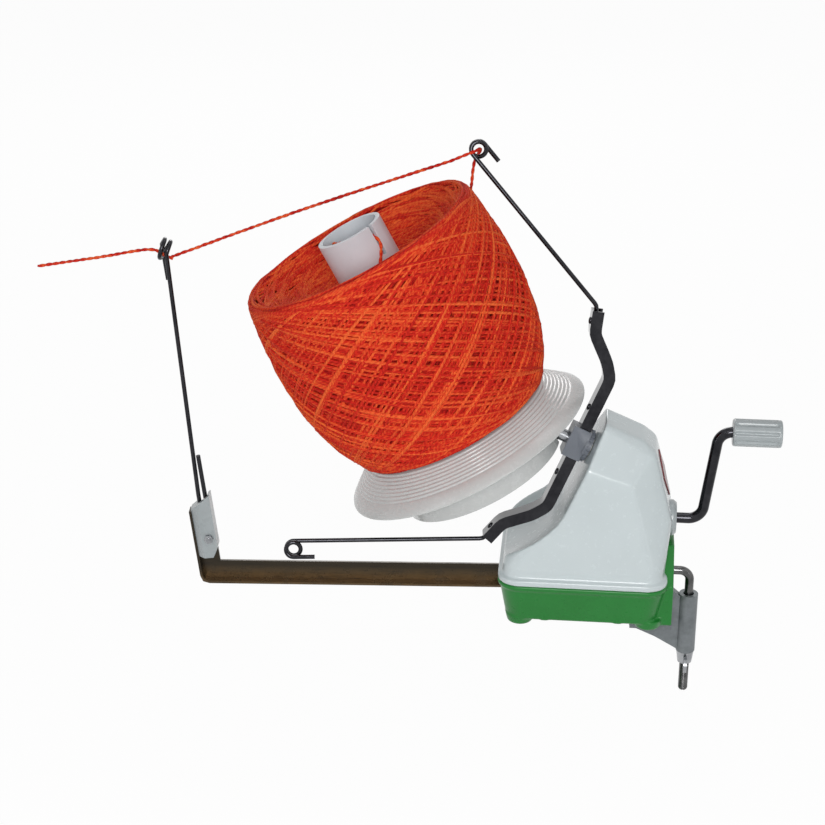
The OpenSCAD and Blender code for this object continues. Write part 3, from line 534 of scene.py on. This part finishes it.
def moulded(piece, cad_name, slot, finish, rounds):
    """A shell with every edge rounded off, as it comes out of the mould, in place of its solid."""
    bpy.context.scene.collection.objects.link(piece)
    grid = piece.modifiers.new("grid", "REMESH")
    grid.mode = "VOXEL"
    grid.voxel_size = MOULD_GRAIN * MM
    grid.use_smooth_shade = True
    ease = piece.modifiers.new("ease", "SMOOTH")
    ease.factor = 0.5
    ease.iterations = rounds
    piece = baked(piece, cad_name + "_form")
    piece.data.materials.clear()
    piece.data.materials.append(finish)
    smoothed(piece.data)
    return put(piece, BODY_OF[cad_name], slot, cad_name)


def stacked(name, rings):
    """A closed solid through a stack of rings of points in millimetres, with flat ends."""
    count = len(rings[0])
    points = np.concatenate(rings) * MM
    faces = [list(range(count)), list(range(len(points) - count, len(points)))]
    for i in range(len(rings) - 1):
        for k in range(count):
            m = (k + 1) % count
            faces.append((i * count + k, i * count + m, (i + 1) * count + m, (i + 1) * count + k))
    mesh = bpy.data.meshes.new(name)
    mesh.from_pydata(points.tolist(), [], faces)
    face_outward(mesh)
    return bpy.data.objects.new(name, mesh)


def lathe(name, profile, origin, axis, sides=48):
    """A solid of revolution from radius and height pairs."""
    axis = np.asarray(axis, float)
    first = np.cross(axis, [0.31, 0.9, 0.29])
    first /= np.linalg.norm(first)
    second = np.cross(axis, first)
    turn = np.linspace(0, TURN, sides, endpoint=False)
    circle = np.cos(turn)[:, None] * first + np.sin(turn)[:, None] * second
    return stacked(name, [np.asarray(origin) + r * circle + h * axis for r, h in profile])


def plate(name, length, depth, corner, low, high):
    """A flat plate with rounded corners, centred over the origin."""
    outline = []
    for quarter, (x, y) in enumerate(((1, 1), (-1, 1), (-1, -1), (1, -1))):
        middle_x = x * (length / 2 - corner)
        middle_y = y * (depth / 2 - corner)
        for a in np.linspace(0, math.pi / 2, 9) + quarter * math.pi / 2:
            outline.append((middle_x + corner * math.cos(a), middle_y + corner * math.sin(a)))
    return stacked(name, [np.array([(x, y, z) for x, y in outline]) for z in (low, high)])


def carved(name, start, *steps):
    """What is left of a solid after other solids are added to it or taken from it in turn."""
    bpy.context.scene.collection.objects.link(start)
    tools = []
    for operation, tool in steps:
        bpy.context.scene.collection.objects.link(tool)
        step = start.modifiers.new(operation, "BOOLEAN")
        step.operation = operation
        step.solver = "MANIFOLD"
        step.object = tool
        tools.append(tool)
    piece = baked(start, name)
    for tool in tools:
        bpy.data.objects.remove(tool)
    return piece


# Camera at the photograph's angle

CAMERA_AT = Vector((-0.8, -1058.9, 591.9)) * MM
CAMERA_TO = Vector((-105.41, 0, 121.53)) * MM
lens = bpy.data.cameras.new("camera")
lens.sensor_width = 36
lens.lens = 84.6
lens.clip_start = 0.05
lens.clip_end = 20
camera = bpy.data.objects.new("camera", lens)
camera.location = CAMERA_AT
camera.rotation_euler = (CAMERA_TO - CAMERA_AT).to_track_quat("-Z", "Y").to_euler()
bpy.context.scene.collection.objects.link(camera)
bpy.context.scene.camera = camera

# Yarn on its way through the guide eye and the flyer, as three cords

LOOP_TURNS = 1.5
LOOP_STEP = 15


def flyer_wire_route():
    """Middle line of the upper flyer wire in arm coordinates: leg, loop of a turn and a half, tail."""
    slope = math.radians(64.3)
    leg_length = 113
    tail_length = 13
    along = np.array([math.cos(slope), 0, math.sin(slope)])
    out = np.array([math.sin(slope), 0, -math.cos(slope)])
    root = np.array([66, 0, 21.5])
    mouth = np.array([77.5, 0, 25.2])
    knee = mouth + [2.4, 0, 2.4]
    top = knee + leg_length * along
    middle = top + LOOP_R * out
    pitch = 2 * WIRE_R + 0.5
    loop = []
    for a in np.radians(np.arange(0, 360 * LOOP_TURNS + 1, LOOP_STEP)):
        round_it = LOOP_R * (math.sin(a) * along - math.cos(a) * out)
        loop.append(middle + round_it + [0, pitch * a / TURN, 0])
    tail = middle + LOOP_R * out + [0, LOOP_TURNS * pitch, 0] - tail_length * along
    return [root, mouth, mouth + [1.4, 0, 0.9], knee] + loop + [tail]


WIRE_ROUTE = flyer_wire_route()
LOOP_FIRST = 4
LOOP_OPPOSITE = LOOP_FIRST + 180 // LOOP_STEP
LOOP_MIDDLE = (WIRE_ROUTE[LOOP_FIRST] + WIRE_ROUTE[LOOP_OPPOSITE]) / 2
LEAD_END = flyer_point(LOOP_MIDDLE + [0, 2.2, 0])
LAID_HEIGHT = BALL_TOP - 10
LAID_AZIMUTH = math.radians(28)
LAID_R = float(ball_radius(LAID_HEIGHT)) + STRAND_R + 0.3

supply_route = smooth_route(
    [
        EYE + [-75.4, 0, -10.2],
        EYE + [-38, 0, -3.4],
        EYE + [-14, 0, 1.6],
        EYE + 5 * FLYER_AXIS + 0.3 * FLYER_UP,
        EYE,
        EYE - 6.8 * FLYER_AXIS,
    ],
    6,
)
lead_route = np.concatenate(
    [
        smooth_route(
            [
                flyer_point([0.8, 0, 264.6]),
                flyer_point([60, -1, 204.5]),
                flyer_point([120, -2.8, 140]),
            ],
            4,
        ),
        smooth_route(
            [
                flyer_point(LOOP_MIDDLE + [-3.4, -2.9, 3.5]),
                flyer_point(LOOP_MIDDLE + [-1.2, -2.4, 1.2]),
                flyer_point(LOOP_MIDDLE + [-0.2, 0.2, 0.2]),
                LEAD_END,
            ],
            4,
        ),
    ]
)
laydown_route = smooth_route(
    [
        flyer_point(LOOP_MIDDLE + [0, 2.45, -0.06]),
        flyer_point(LOOP_MIDDLE + [-0.3, 5.4, -1.4]),
        spindle_points(LAID_R + 9.4, math.radians(21.5), LAID_HEIGHT + 17),
        spindle_points(LAID_R + 4.8, math.radians(22), LAID_HEIGHT + 11),
        spindle_points(LAID_R + 1.5, math.radians(23), LAID_HEIGHT + 5.5),
        spindle_points(LAID_R, LAID_AZIMUTH, LAID_HEIGHT),
    ],
    5,
)

PLY_R = 0.7
PLY_OFFSET = 0.36
PLY_TURN = 8.5
PLY_STEP = 0.55


def plied(route):
    """Routes of the plies that wind round a strand's middle line."""
    route = evenly(route, PLY_STEP)
    run = distances(route)
    ahead = np.gradient(route, axis=0)
    ahead /= np.linalg.norm(ahead, axis=1)[:, None]
    first = np.cross(ahead, [0.13, 0.97, 0.21])
    first /= np.linalg.norm(first, axis=1)[:, None]
    second = np.cross(ahead, first)
    made = []
    for k in range(PLIES):
        angle = TURN * (run / PLY_TURN + k / PLIES)[:, None]
        made.append(route + PLY_OFFSET * (np.cos(angle) * first + np.sin(angle) * second))
    return made


def uneven(rng, count, step, low, high):
    """Slowly changing values between two limits, one for each point of a strand."""
    knots = rng.uniform(low, high, count // step + 3)
    return np.interp(np.arange(count) / step, np.arange(len(knots)), knots)


def free_strand(name, route, seed):
    """Two soft plies twisted loosely together, with thick and thin places."""
    rng = np.random.default_rng(seed)
    plies = plied(route)
    tones = [uneven(rng, len(p), 7, 0.15, 1.0) for p in plies]
    widths = [uneven(rng, len(p), 11, 0.82, 1.06) for p in plies]
    return swept(name, plies, PLY_R, 7, YARN, tones, widths)


CORD_STEP = 1.5


def yarn_cord(name, cad_name, body, route, exit_first):
    """A two-ply strand in place of its plain solid."""
    route = evenly(route, CORD_STEP)
    if not exit_first:
        route = route[::-1]
    piece = free_strand(name, route, len(route))
    put(piece, body, "yarn", cad_name)


yarn_cord("supply_strand", "yarn_supply", "stand", supply_route, False)
yarn_cord("lead_strand", "yarn_lead", "flyer", lead_route, True)
yarn_cord("laydown_strand", "yarn_laydown", "flyer", laydown_route, True)

# Cone of yarn: one strand crossing the ball turn after turn, as the flyer lays it

DRIFTS_A_TURN = 3
ENTRY_TURNS = 0.22
EDGE_GAP = 2.4
LAYER_DEPTH = 0.5
LAYER_SLIP = 0.0046
WOUND_SIDES = 5


def drift(rng, turns, at, size):
    """Slow unevenness along the winding, from one fixed draw."""
    knots = rng.uniform(-1, 1, turns * DRIFTS_A_TURN + 2)
    return size * np.interp(at * DRIFTS_A_TURN, np.arange(len(knots)), knots)


def wound_route(turns):
    """The strand from the last place it was laid, back through turn after turn of the ball."""
    rng = np.random.default_rng(41)
    back = np.arange(turns * POINTS_A_TURN + 1) / POINTS_A_TURN
    layer = back / TURNS_A_LAYER
    lean = LAID_AZIMUTH + TURN * back
    middle = 0.5 * (FLANGE_TOP + BALL_TOP)
    reach = middle - FLANGE_TOP - EDGE_GAP + drift(rng, turns, back, 1.9)
    height = middle + drift(rng, turns, back, 1.1) + reach * np.cos(lean)
    entry = np.clip(1 - back / ENTRY_TURNS, 0, 1) ** 2
    height += entry * (LAID_HEIGHT - height[0])
    height = np.clip(height, FLANGE_TOP + 1.2, BALL_TOP - 0.6)
    slip = drift(rng, turns, back, 0.015) + LAYER_SLIP * layer
    azimuth = LAID_AZIMUTH + TURN * (back * (1 + BOBBIN_STEP) + slip * (1 - entry))
    depth = 0.1 + LAYER_DEPTH * layer + drift(rng, turns, back, 0.34)
    radius = ball_radius(height) - (1 - entry) * depth + 1.4 * entry
    # Each deeper layer gets a lower tone, painted shade between the strands; the rest is random tone along
    # the strand.
    tone = np.clip(0.72 - 0.12 * layer + uneven(rng, len(back), 5, -0.36, 0.36), 0, 1)
    width = uneven(rng, len(back), 3, 0.72, 1.28)
    return spindle_points(radius, azimuth, height), tone, width


def hollow_routes(count):
    """Turns that show inside the hollow top, crossing it from the rim towards the tube and back."""
    rng = np.random.default_rng(17)
    around = np.linspace(0, TURN, 73)
    routes = []
    tones = []
    widths = []
    for k in range(count):
        place = (k + 0.5) / count
        swing = rng.uniform(0.12, 0.5)
        u = np.clip(place + swing * np.cos(around - rng.uniform(0, TURN)), 0, 1)
        radius, height = hollow_place(u, HOLLOW_INSET, HOLLOW_SINK)
        routes.append(spindle_points(radius, around, height + rng.uniform(-0.9, 0.7)))
        tones.append(uneven(rng, len(around), 5, 0.35, 1.0))
        widths.append(uneven(rng, len(around), 4, 0.8, 1.2))
    return routes, tones, widths


def wound_piece(name, routes, tones, widths):
    piece = swept(name, routes, WOUND_R, WOUND_SIDES, YARN, tones, widths)
    put(piece, "bobbin", "yarn", "yarn_package")


LAYERS = 7
OUTER_LAYERS = 4
HOLLOW_TURNS = 150
wound = wound_route(LAYERS * TURNS_A_LAYER)
outer = OUTER_LAYERS * TURNS_A_LAYER * POINTS_A_TURN
for name, span in (("yarn_outer_turns", slice(0, outer + 1)), ("yarn_under_turns", slice(outer, None))):
    route, tone, width = (values[span] for values in wound)
    wound_piece(name, [route], [tone], [width])
wound_piece("yarn_hollow_turns", *hollow_routes(HOLLOW_TURNS))


def turned(name, profile, finish, sides=96):
    """A closed ring of revolution about the spindle, from radius and height pairs going round it."""
    angles = np.linspace(0, TURN, sides, endpoint=False)
    profile = np.array(profile, float)
    count = len(profile)
    grid = spindle_points(profile[None, :, 0], angles[:, None], profile[None, :, 1]) * MM
    faces = []
    for i in range(sides):
        j = (i + 1) % sides
        for k in range(count):
            m = (k + 1) % count
            faces.append((i * count + k, j * count + k, j * count + m, i * count + m))
    piece = from_faces(name, grid.reshape(-1, 3).tolist(), faces, finish)
    face_outward(piece.data)
    return piece


# Closed body under the strands, which stops the eye between them; it is a darker copy of the yarn, painted
# shade between the strands
BED_UNDER = 3.6
BED_INSET = 8.6
BED_SINK = 2.6
BED_LOW = FLANGE_TOP + 0.4
bed = [(float(ball_radius(h)) - BED_UNDER, h) for h in np.linspace(BED_LOW, BALL_TOP - 3.4, 40)]
bed += [hollow_place(u, BED_INSET, BED_SINK) for u in np.linspace(0.04, 1, 16)]
bed += [(TUBE_GAP_R, BALL_TOP - BED_SINK - HOLLOW_DEPTH), (TUBE_GAP_R, BED_LOW)]
put(turned("yarn_bed", bed, YARN_BED_PAINTED_SHADE), "bobbin", "yarn", "yarn_package")

# The yarn's inner end, up the tube and in through its slit: radius, degrees round and height
TAIL = [
    (25.0, -84, 119.8),
    (22.2, -75, 121.6),
    (21.3, -66, 125.2),
    (21.2, -56, 130.0),
    (21.2, -45, 135.4),
    (20.9, -38.6, 140.2),
    (18.6, -38, 143.6),
    (15.8, -40, 145.8),
    (11.0, -64, 147.2),
    (9.0, -140, 147.6),
    (12.6, 168, 147.0),
    (16.0, 150, 145.0),
]
tail_route = smooth_route([spindle_points(r, math.radians(a), h) for r, a, h in TAIL], 8)
put(free_strand("yarn_tail", tail_route, 7), "bobbin", "yarn")

# Moulded housing and bobbin, with the balls at the corners of the cover's far half: place and radius

COVER_BALLS = [
    (-38, 30, 30, 10),
    (-38, 30, 38, 10),
    (38, 30, 30, 10),
    (38, 30, 38, 10),
    (42, 18, 40, 8),
    (43.7, 18, 66, 8),
    (34, 12, 103, 8),
    (8, 10, 119, 6),
    (30, 10, 109.5, 6),
    (-2, 24.5, 100, 6),
    (25, 24.5, 91, 6),
]
BOWL_BACK = -8
BOWL_FRONT = 250
BOWL_PROFILE = [(44, 0), (52, 1), (62, 5.5), (70, 11), (79, 19), (104, 42), (130, 66)]
COVER_WALL = 2.5
COVER_LOW = 29.5
LIP_HIGH = COVER_LOW + 4
POSTS = [(x, y) for x in (-22, 22) for y in (-34.5, 34.5)]
POST_R = 4.5
POST_TOP = 41.5
SCREW_R = 1.5
SCREW_TOP = 38.5
NOSE_BOSS_R = 9
NOSE_HOLE_R = 6.2
BEARING_R = 7
BOSS_R = 11
BOSS_X = 50.4
CRANK_LINE = (0, 0, 59)
GABLE = [(-31.4, 1), (31.4, 1), (31.4, 27.5), (12.4, 46.4), (-12.4, 46.4), (-31.4, 27.5)]
UP = (0, 0, 1)
TO_CRANK = (1, 0, 0)


def cover_body(inset):
    """Convex body round the balls that give the cover its corners, both sides alike."""
    count = 900
    step = np.arange(count) + 0.5
    polar = np.arccos(1 - 2 * step / count)
    turn = math.pi * (1 + 5**0.5) * step
    ball = np.stack([np.cos(turn) * np.sin(polar), np.sin(turn) * np.sin(polar), np.cos(polar)], axis=1)
    form = bmesh.new()
    for x, y, z, r in COVER_BALLS:
        for sign in (1, -1):
            for p in (np.array([x, sign * y, z]) + (r - inset) * ball) * MM:
                form.verts.new(p)
    made = bmesh.ops.convex_hull(form, input=form.verts)
    inside = [v for v in made["geom_interior"] if isinstance(v, bmesh.types.BMVert)]
    bmesh.ops.delete(form, geom=inside, context="VERTS")
    mesh = bpy.data.meshes.new("cover_body")
    form.to_mesh(mesh)
    form.free()
    return bpy.data.objects.new("cover_body", mesh)


def flyer_bowl(depth):
    """The dished space in front of the cover in which the flyer turns."""
    curve = smooth_route([(r, h, 0) for r, h in BOWL_PROFILE], 6)
    profile = [(r, h) for r, h, _ in curve] + [(BOWL_PROFILE[-1][0], BOWL_FRONT)]
    return lathe("bowl", profile, HUB + (BOWL_BACK - depth) * FLYER_AXIS, FLYER_AXIS, 360)


def cover_form():
    """Thin-walled cover with its lip, screw posts, nose boss and openings."""
    shell = carved("shell", cover_body(0), ("DIFFERENCE", flyer_bowl(0)))
    inner = carved("inner", cover_body(COVER_WALL), ("DIFFERENCE", flyer_bowl(COVER_WALL)))
    lip = carved(
        "lip",
        plate("lip", 101.6, 85.6, 12.8, COVER_LOW, LIP_HIGH),
        ("DIFFERENCE", plate("lip_hole", 92, 76, 8, COVER_LOW - 1, LIP_HIGH + 1)),
    )
    added = [lip]
    for x, y in POSTS:
        added.append(lathe("post", [(POST_R, COVER_LOW), (POST_R, POST_TOP)], (x, y, 0), UP))
    boss = [(NOSE_BOSS_R, BOWL_BACK - 6), (NOSE_BOSS_R, BOWL_BACK - 1)]
    added.append(lathe("nose_boss", boss, HUB, FLYER_AXIS))
    cut = [stacked("gable_gap", [np.array([(x, y, z) for y, z in GABLE]) for x in (40, 70)])]
    cut.append(lathe("bearing_hole", [(BEARING_R, 40), (BEARING_R, 70)], CRANK_LINE, TO_CRANK))
    cut.append(lathe("boss_seat", [(BOSS_R, BOSS_X), (BOSS_R, 80)], CRANK_LINE, TO_CRANK))
    for x, y in POSTS:
        cut.append(lathe("screw_hole", [(SCREW_R, COVER_LOW - 1), (SCREW_R, SCREW_TOP)], (x, y, 0), UP))
    cut.append(lathe("nose_hole", [(NOSE_HOLE_R, -18), (NOSE_HOLE_R, 2)], HUB, FLYER_AXIS))
    steps = [("DIFFERENCE", inner), ("DIFFERENCE", plate("below", 300, 300, 5, -50, COVER_LOW))]
    steps += [("UNION", tool) for tool in added]
    steps += [("DIFFERENCE", tool) for tool in cut]
    return carved("cover_form", shell, *steps)


GRIP_SIDES = 144
GRIP_FLUTES = 9
FLUTE_DEPTH = 1.0
FLUTE_EDGE = 0.05


def grip_form():
    """The turned handle: shallow flutes along it, rounded ends and a ringed outer face."""
    low, high = (np.array(c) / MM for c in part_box("crank_grip"))
    middle = 0.5 * (low + high)
    radius = 0.5 * (high[2] - low[2])
    # Shares of the radius and distances from the end, then rows of share, place and flute
    ends = [(0.86, 0.0), (0.96, 0.35), (1.0, 1.1)]
    inset = [(0.95, 0.3), (0.86, 0.0), (0.78, 0.0), (0.76, 0.7), (0.4, 0.7)]
    bore = ROD_BORE / radius
    rows = [(bore, high[0] - 2.0, 0.0), (bore, low[0], 0.0)]
    rows += [(r, low[0] + d, 0.0) for r, d in ends]
    for x in np.linspace(low[0] + 1.8, high[0] - 2.6, 14):
        rows.append((1.0, x, 1.0))
    rows += [(1.0, high[0] - 1.9, 0.0), (1.0, high[0] - 0.9, 0.0)]
    rows += [(r, high[0] - d, 0.0) for r, d in inset]
    turn = np.linspace(0, TURN, GRIP_SIDES, endpoint=False)
    groove = FLUTE_DEPTH * np.clip(np.cos(GRIP_FLUTES * turn) - FLUTE_EDGE, 0, None)
    rings = []
    for share, x, fluted in rows:
        r = share * radius - fluted * groove
        y = middle[1] + r * np.cos(turn)
        z = middle[2] + r * np.sin(turn)
        rings.append(np.stack([np.full(GRIP_SIDES, x), y, z], axis=1))
    piece = stacked("crank_grip_form", rings)
    piece.data.materials.append(GRIP_GREY)
    smoothed(piece.data)
    piece.data.set_sharp_from_angle(angle=math.radians(50))
    return piece


put(grip_form(), "grip", "grey_plastic", "crank_grip")
moulded(cover_form(), "cover", "grey_plastic", GREY, 8)
moulded(merged_copy("base_tray", GREEN, flatten=False), "base_tray", "green_plastic", GREEN, 3)
dressed("bobbin_flange", "white_plastic", WHITE, 0.35, 28)
dressed("core_tube", "white_plastic", TUBE_WHITE, 0.3)
dressed("flyer_hub", "hub_plastic", HUB_GREY, 0.25)
dressed("guide_holder", "grey_plastic", GRIP_GREY, 0.5)
dressed("side_badge", "badge_red", BADGE, 0.15)

# Metalwork: swept wires, pressed arms, clamp

GUIDE_YAW = math.radians(4)
BASE_END = 50


def on_guide(point):
    """Turns a point of the guide assembly round to the front, as the arm is set."""
    x = point[0] + BASE_END
    y = point[1]
    ahead = x * math.cos(GUIDE_YAW) - y * math.sin(GUIDE_YAW) - BASE_END
    across = x * math.sin(GUIDE_YAW) + y * math.cos(GUIDE_YAW)
    return np.array([ahead, across, point[2]])


def guide_wire_route():
    """Hook in the holder, long leaning leg, the coiled eye round the flyer axis and its tail."""
    lean = math.radians(6.6)
    up = np.array([-math.sin(lean), 0, math.cos(lean)])
    across = np.array([math.cos(lean), 0, math.sin(lean)])
    foot = np.array([-236.0, -4.6, 8.5]) + 7.5 * across + 54 * up
    low = foot - 13 * up
    bend = 2
    hook = [foot + 2 * bend * across + 32 * up]
    for a in np.radians(np.arange(0, 181, 30)):
        hook.append(low + bend * across + bend * math.cos(a) * across - bend * math.sin(a) * up)
    hook += [foot, foot + 6 * up]
    coil_r = LOOP_R + 1.2
    coil_pitch = 3.6
    strand_gap = 0.05
    centre = EYE + (coil_r - WIRE_R - STRAND_R - strand_gap) * FLYER_UP
    coil = []
    for a in np.linspace(0, LOOP_TURNS * TURN, 61):
        ahead = coil_pitch * (a / TURN - 0.5 * LOOP_TURNS) * FLYER_AXIS
        coil.append(centre + ahead + coil_r * (math.sin(a) * FLYER_UP - math.cos(a) * SIDE))
    rise = on_guide(up) - on_guide(np.zeros(3))
    tail = [coil[-1] - 4 * rise, coil[-1] - 22 * rise]
    return np.array([on_guide(p) for p in hook] + coil + tail)


WIRE_SIDES = 16


def wire_piece(cad_name, route):
    piece = swept(cad_name + "_form", [route], WIRE_R, WIRE_SIDES, CHROME)
    put(piece, BODY_OF[cad_name], "dark_chrome", cad_name)


wire_piece("guide_wire", guide_wire_route())
for wire_name, sign in (("flyer_wire_upper", 1), ("flyer_wire_lower", -1)):
    wire_piece(wire_name, np.array([flyer_point([sign * p[0], sign * p[1], p[2]]) for p in WIRE_ROUTE]))

dressed("flyer_arm", "dark_chrome", CHROME, 0.3)
dressed("flyer_rivets", "dark_chrome", CHROME)
dressed("crank_rod", "dark_chrome", CHROME, 0.2)
dressed("crank_collar", "steel", STEEL, 0.2)
dressed("crank_bearing", "grey_plastic", GRIP_GREY, 0.2)
dressed("guide_arm", "bronze_steel", BRONZE, 0.3)
dressed("guide_bolt", "steel", STEEL, 0.15)
dressed("arm_screws", "steel", STEEL, 0.1)
dressed("clamp_jaw", "cast_grey", CAST, 0.5)
dressed("wing_nut", "cast_grey", STEEL, 0.4)

ROD_X = 65.5
ROD_Z = 23.0
ROD_R = 2.7
ROD_BEND = 6.0
THREAD_TOP = -18.0
THREAD_TIP = -60.7
THREAD_PITCH = 1.0
THREAD_CREST = 3.0
THREAD_ROOT = 2.45
THREAD_SIDES = 32
ROWS_A_THREAD = 6


def rod_thread():
    """The rolled thread on the rod's end, with a narrowed tip."""
    length = THREAD_TOP - THREAD_TIP
    rows = int(length / THREAD_PITCH * ROWS_A_THREAD) + 1
    points = []
    for i in range(rows):
        z = THREAD_TOP - length * i / (rows - 1)
        fade = min(1.0, (z - THREAD_TIP) / 1.2 + 0.25)
        for k in range(THREAD_SIDES):
            place = (z / THREAD_PITCH - k / THREAD_SIDES) % 1.0
            rise = 1 - abs(2 * place - 1)
            r = (THREAD_ROOT + (THREAD_CREST - THREAD_ROOT) * rise) * (0.8 + 0.2 * fade)
            a = TURN * k / THREAD_SIDES
            points.append(((ROD_X + r * math.cos(a)) * MM, r * math.sin(a) * MM, z * MM))
    faces = [list(range(THREAD_SIDES)), [rows * THREAD_SIDES - 1 - k for k in range(THREAD_SIDES)]]
    for i in range(rows - 1):
        here = i * THREAD_SIDES
        after = here + THREAD_SIDES
        for k in range(THREAD_SIDES):
            m = (k + 1) % THREAD_SIDES
            faces.append((here + k, after + k, after + m, here + m))
    thread = from_faces("clamp_thread", points, faces, ROD_STEEL, 70)
    face_outward(thread.data)
    return thread


def clamp_rod_form():
    """The bent rod and its rolled thread, as one bar."""
    route = [np.array([BASE_END - 1.0, 0, ROD_Z])]
    for a in np.linspace(0, math.pi / 2, 13):
        bent = [ROD_X - ROD_BEND + ROD_BEND * math.sin(a), 0, ROD_Z - ROD_BEND + ROD_BEND * math.cos(a)]
        route.append(np.array(bent))
    route.append(np.array([ROD_X, 0, THREAD_TOP - 0.5]))
    piece = swept("clamp_rod_form", [np.array(route)], ROD_R, 24, ROD_STEEL)
    thread = rod_thread()
    form = bmesh.new()
    form.from_mesh(thread.data)
    form.from_mesh(piece.data)
    form.to_mesh(piece.data)
    form.free()
    bpy.data.objects.remove(thread)
    return piece


put(clamp_rod_form(), "stand", "steel", "clamp_rod")

# Solids that keep their own shape and get a finish

KEPT = {
    "gear_frame": FRAME,
    "support_shaft": STEEL,
    "spindle_carrier": WHITE,
    "spindle_pin": STEEL,
    "spindle_cap": HUB_GREY,
    "cover_screws": STEEL,
    "frame_screws": STEEL,
    "nose_bush": NYLON,
    "flyer_sleeve": STEEL,
    "flyer_pinion": NYLON,
    "feed_pinion": NYLON,
    "drive_gear": NYLON,
    "bobbin_gear": WHITE,
}
for cad_name, material in KEPT.items():
    for holder in frame["nodes"][cad_name].material_slots:
        holder.material = material

# Floor, light and backdrop

FLOOR_LEVEL = -0.0625
FLOOR_HALF = 6.0
FLOOR_GLOW = 0.96
ROOM_LIGHT = 0.27
PURE_WHITE = (1, 1, 1, 1)


def seen(tree):
    """One for what the camera, metal and glass see, nothing for the light on the object."""
    path = node(tree, "ShaderNodeLightPath").outputs
    direct = sums(tree, "MAXIMUM", path["Is Camera Ray"], path["Is Glossy Ray"])
    return sums(tree, "MAXIMUM", direct, path["Is Transmission Ray"])


def studio_floor():
    """A pale floor below the clamp, white to the eye and in metal, that still takes the shadow."""
    material, tree, shader = blank("pale_floor")
    at = node(tree, "ShaderNodeTexCoord").outputs["Object"]
    tint = ramp(tree, noise(tree, at, 3), [(0.3, (0.9, 0.9, 0.9, 1)), (0.7, (0.93, 0.93, 0.93, 1))])
    tree.links.new(tint, shader.inputs["Base Color"])
    shader.inputs["Roughness"].default_value = 0.9
    shader.inputs["Specular IOR Level"].default_value = 0.1
    glow = node(tree, "ShaderNodeEmission", {"Color": PURE_WHITE, "Strength": 1.0})
    mix = node(tree, "ShaderNodeMixShader", links={0: sums(tree, "MULTIPLY", seen(tree), FLOOR_GLOW)})
    tree.links.new(shader.outputs["BSDF"], mix.inputs[1])
    tree.links.new(glow.outputs["Emission"], mix.inputs[2])
    tree.links.new(mix.outputs["Shader"], tree.nodes["Material Output"].inputs["Surface"])
    signs = ((-1, -1), (1, -1), (1, 1), (-1, 1))
    corners = [(x * FLOOR_HALF, y * FLOOR_HALF, FLOOR_LEVEL) for x, y in signs]
    floor = from_faces("floor", corners, [(0, 1, 2, 3)], material)
    bpy.context.scene.collection.objects.link(floor)


def studio_world():
    """White backdrop to the eye and in metal, with a dimmer light from all round on the object."""
    world = bpy.data.worlds.new("studio")
    world.use_nodes = True
    tree = world.node_tree
    back = tree.nodes["Background"]
    back.inputs["Color"].default_value = PURE_WHITE
    tree.links.new(spread(tree, seen(tree), ROOM_LIGHT, 1.0, 0.0, 1.0), back.inputs["Strength"])
    bpy.context.scene.world = world


AIM = (-0.1, 0, 0.1)
# Name, place, size and watts
LAMPS = [
    ("key", (0.1, -1.5, 0.75), (0.5, 0.5), 12.5),
    ("top", (0.1, 0.4, 1.6), (0.6, 0.4), 1.5),
    ("back", (-0.3, 1.5, 0.8), (0.6, 0.6), 5),
    ("front_strip", (-0.1, -1.1, 1.25), (1.6, 0.03), 1.8),
    ("left_strip", (-1.25, -0.8, 0.5), (0.03, 1.2), 1.2),
    ("right_strip", (1.15, -0.9, 0.45), (0.03, 1.2), 0.8),
]


def soft_lamp(name, place, size, watts):
    light = bpy.data.lights.new(name, "AREA")
    light.shape = "RECTANGLE"
    light.size, light.size_y = size
    light.energy = watts
    lamp = bpy.data.objects.new(name, light)
    lamp.location = place
    lamp.rotation_euler = (Vector(AIM) - Vector(place)).to_track_quat("-Z", "Y").to_euler()
    bpy.context.scene.collection.objects.link(lamp)


studio_floor()
studio_world()
for lamp in LAMPS:
    soft_lamp(*lamp)
bpy.context.scene.view_settings.view_transform = "Standard"
